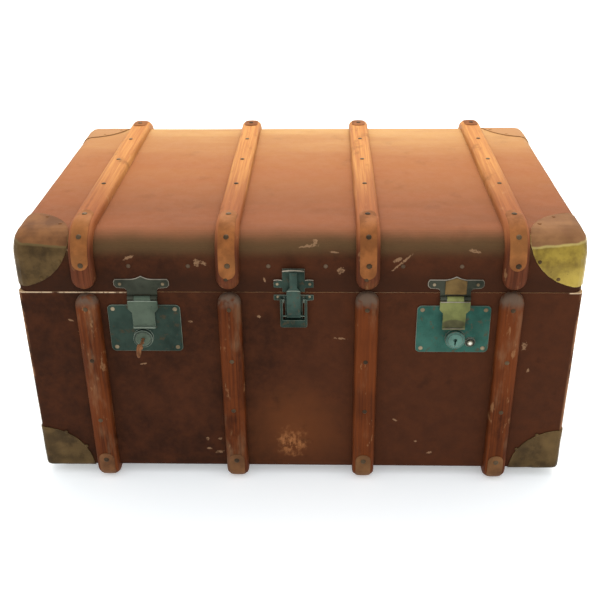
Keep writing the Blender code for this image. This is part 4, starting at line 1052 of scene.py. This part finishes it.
def handles():
    """Iron bails with a leather grip."""
    for name, side in (("left", -1), ("right", 1)):
        node = f"handle_{name}"
        bm = soften(from_node(node), 0.0004, 2, 0.7)
        for face in bm.faces:
            middle = face.calc_center_median()
            face.material_index = 0 if abs(middle.y) < 0.0305 and middle.z < HANDLE_Z - 0.03 else 1
        finish(f"{node}_finished", bm, node, [LEATHER, STEEL], [node], 0.6)


for make in (case_shell, lid_shell, closing_lip, lid_slats, case_slats, lid_straps, runner_straps,
             slat_nails, lid_edge_nails, corner_caps, cap_nails, fittings, catch_claw, bronze_panel,
             worn_ribs, small_fixings, handles):
    make()


# ---- floor, light and camera -------------------------------------------------------------
def floor():
    material, tree, shader, where = start_finish("pale_floor", roughness=0.75, specular=0.2,
                                                 Emission_Strength=0.3)
    shader.inputs["Emission Color"].default_value = (0.95, 0.99, 1.0, 1.0)
    tone = between(tree, cloudy(tree, where, 1.2, 3.0), 0.3, 0.7)
    set_colour(tree, shader, mixed(tree, tone, (0.86, 0.9, 0.91), (0.9, 0.92, 0.92)))
    bm = bmesh.new()
    bmesh.ops.create_grid(bm, x_segments=1, y_segments=1, size=9.0)
    mesh = bpy.data.meshes.new("floor")
    bm.to_mesh(mesh)
    bm.free()
    mesh.materials.append(material)
    ground = bpy.data.objects.new("floor", mesh)
    bpy.context.scene.collection.objects.link(ground)


def soft_light(name, place, aim, size, power, colour):
    lamp = bpy.data.lights.new(name, "AREA")
    lamp.shape = "RECTANGLE"
    lamp.size, lamp.size_y = size
    lamp.energy = power
    lamp.color = colour
    lamp_object = bpy.data.objects.new(name, lamp)
    bpy.context.scene.collection.objects.link(lamp_object)
    lamp_object.location = place
    lamp_object.rotation_euler = (Vector(aim) - Vector(place)).to_track_quat("-Z", "Y").to_euler()


def surroundings():
    """A pale room, a little brighter behind the trunk than in front of it."""
    world = bpy.data.worlds.new("pale_room")
    world.use_nodes = True
    bpy.context.scene.world = world
    tree = world.node_tree
    way = add_node(tree, "SeparateXYZ", {0: add_node(tree, "TexCoord").outputs["Generated"]})
    behind = between(tree, way.outputs["Y"], -0.35, 0.55)
    colour = mixed(tree, behind, (0.96, 0.97, 1.0), (1.0, 0.99, 0.97))
    tree.links.new(colour, tree.nodes["Background"].inputs["Color"])
    tree.nodes["Background"].inputs["Strength"].default_value = 1.18


def camera():
    yaw, pitch, roll = radians(-1.84), radians(28.0), radians(-0.7)
    ahead = Vector((sin(yaw) * cos(pitch), cos(yaw) * cos(pitch), -sin(pitch)))
    right = Vector((cos(yaw), -sin(yaw), 0.0))
    up = right.cross(ahead)
    leaning_right = right * cos(roll) + up * sin(roll)
    leaning_up = up * cos(roll) - right * sin(roll)
    lens = bpy.data.cameras.new("camera")
    lens.lens = 54.29
    lens.sensor_width = 36.0
    view = bpy.data.objects.new("camera", lens)
    bpy.context.scene.collection.objects.link(view)
    turned = Matrix((leaning_right, leaning_up, -ahead)).transposed()
    view.matrix_world = Matrix.Translation((0.041, -1.4594 + SET_BACK, 0.961)) @ turned.to_4x4()
    bpy.context.scene.camera = view


floor()
soft_light("high_light", (0.1, 1.1, 2.3), (0.0, 0.1, 0.35), (2.2, 1.6), 62.0, (1.0, 0.86, 0.68))
soft_light("front_fill", (0.9, -2.2, 1.3), (0.0, -0.2, 0.2), (1.8, 1.4), 2.0, (1.0, 0.94, 0.88))
surroundings()
camera()
bpy.context.scene.view_settings.view_transform = "Standard"
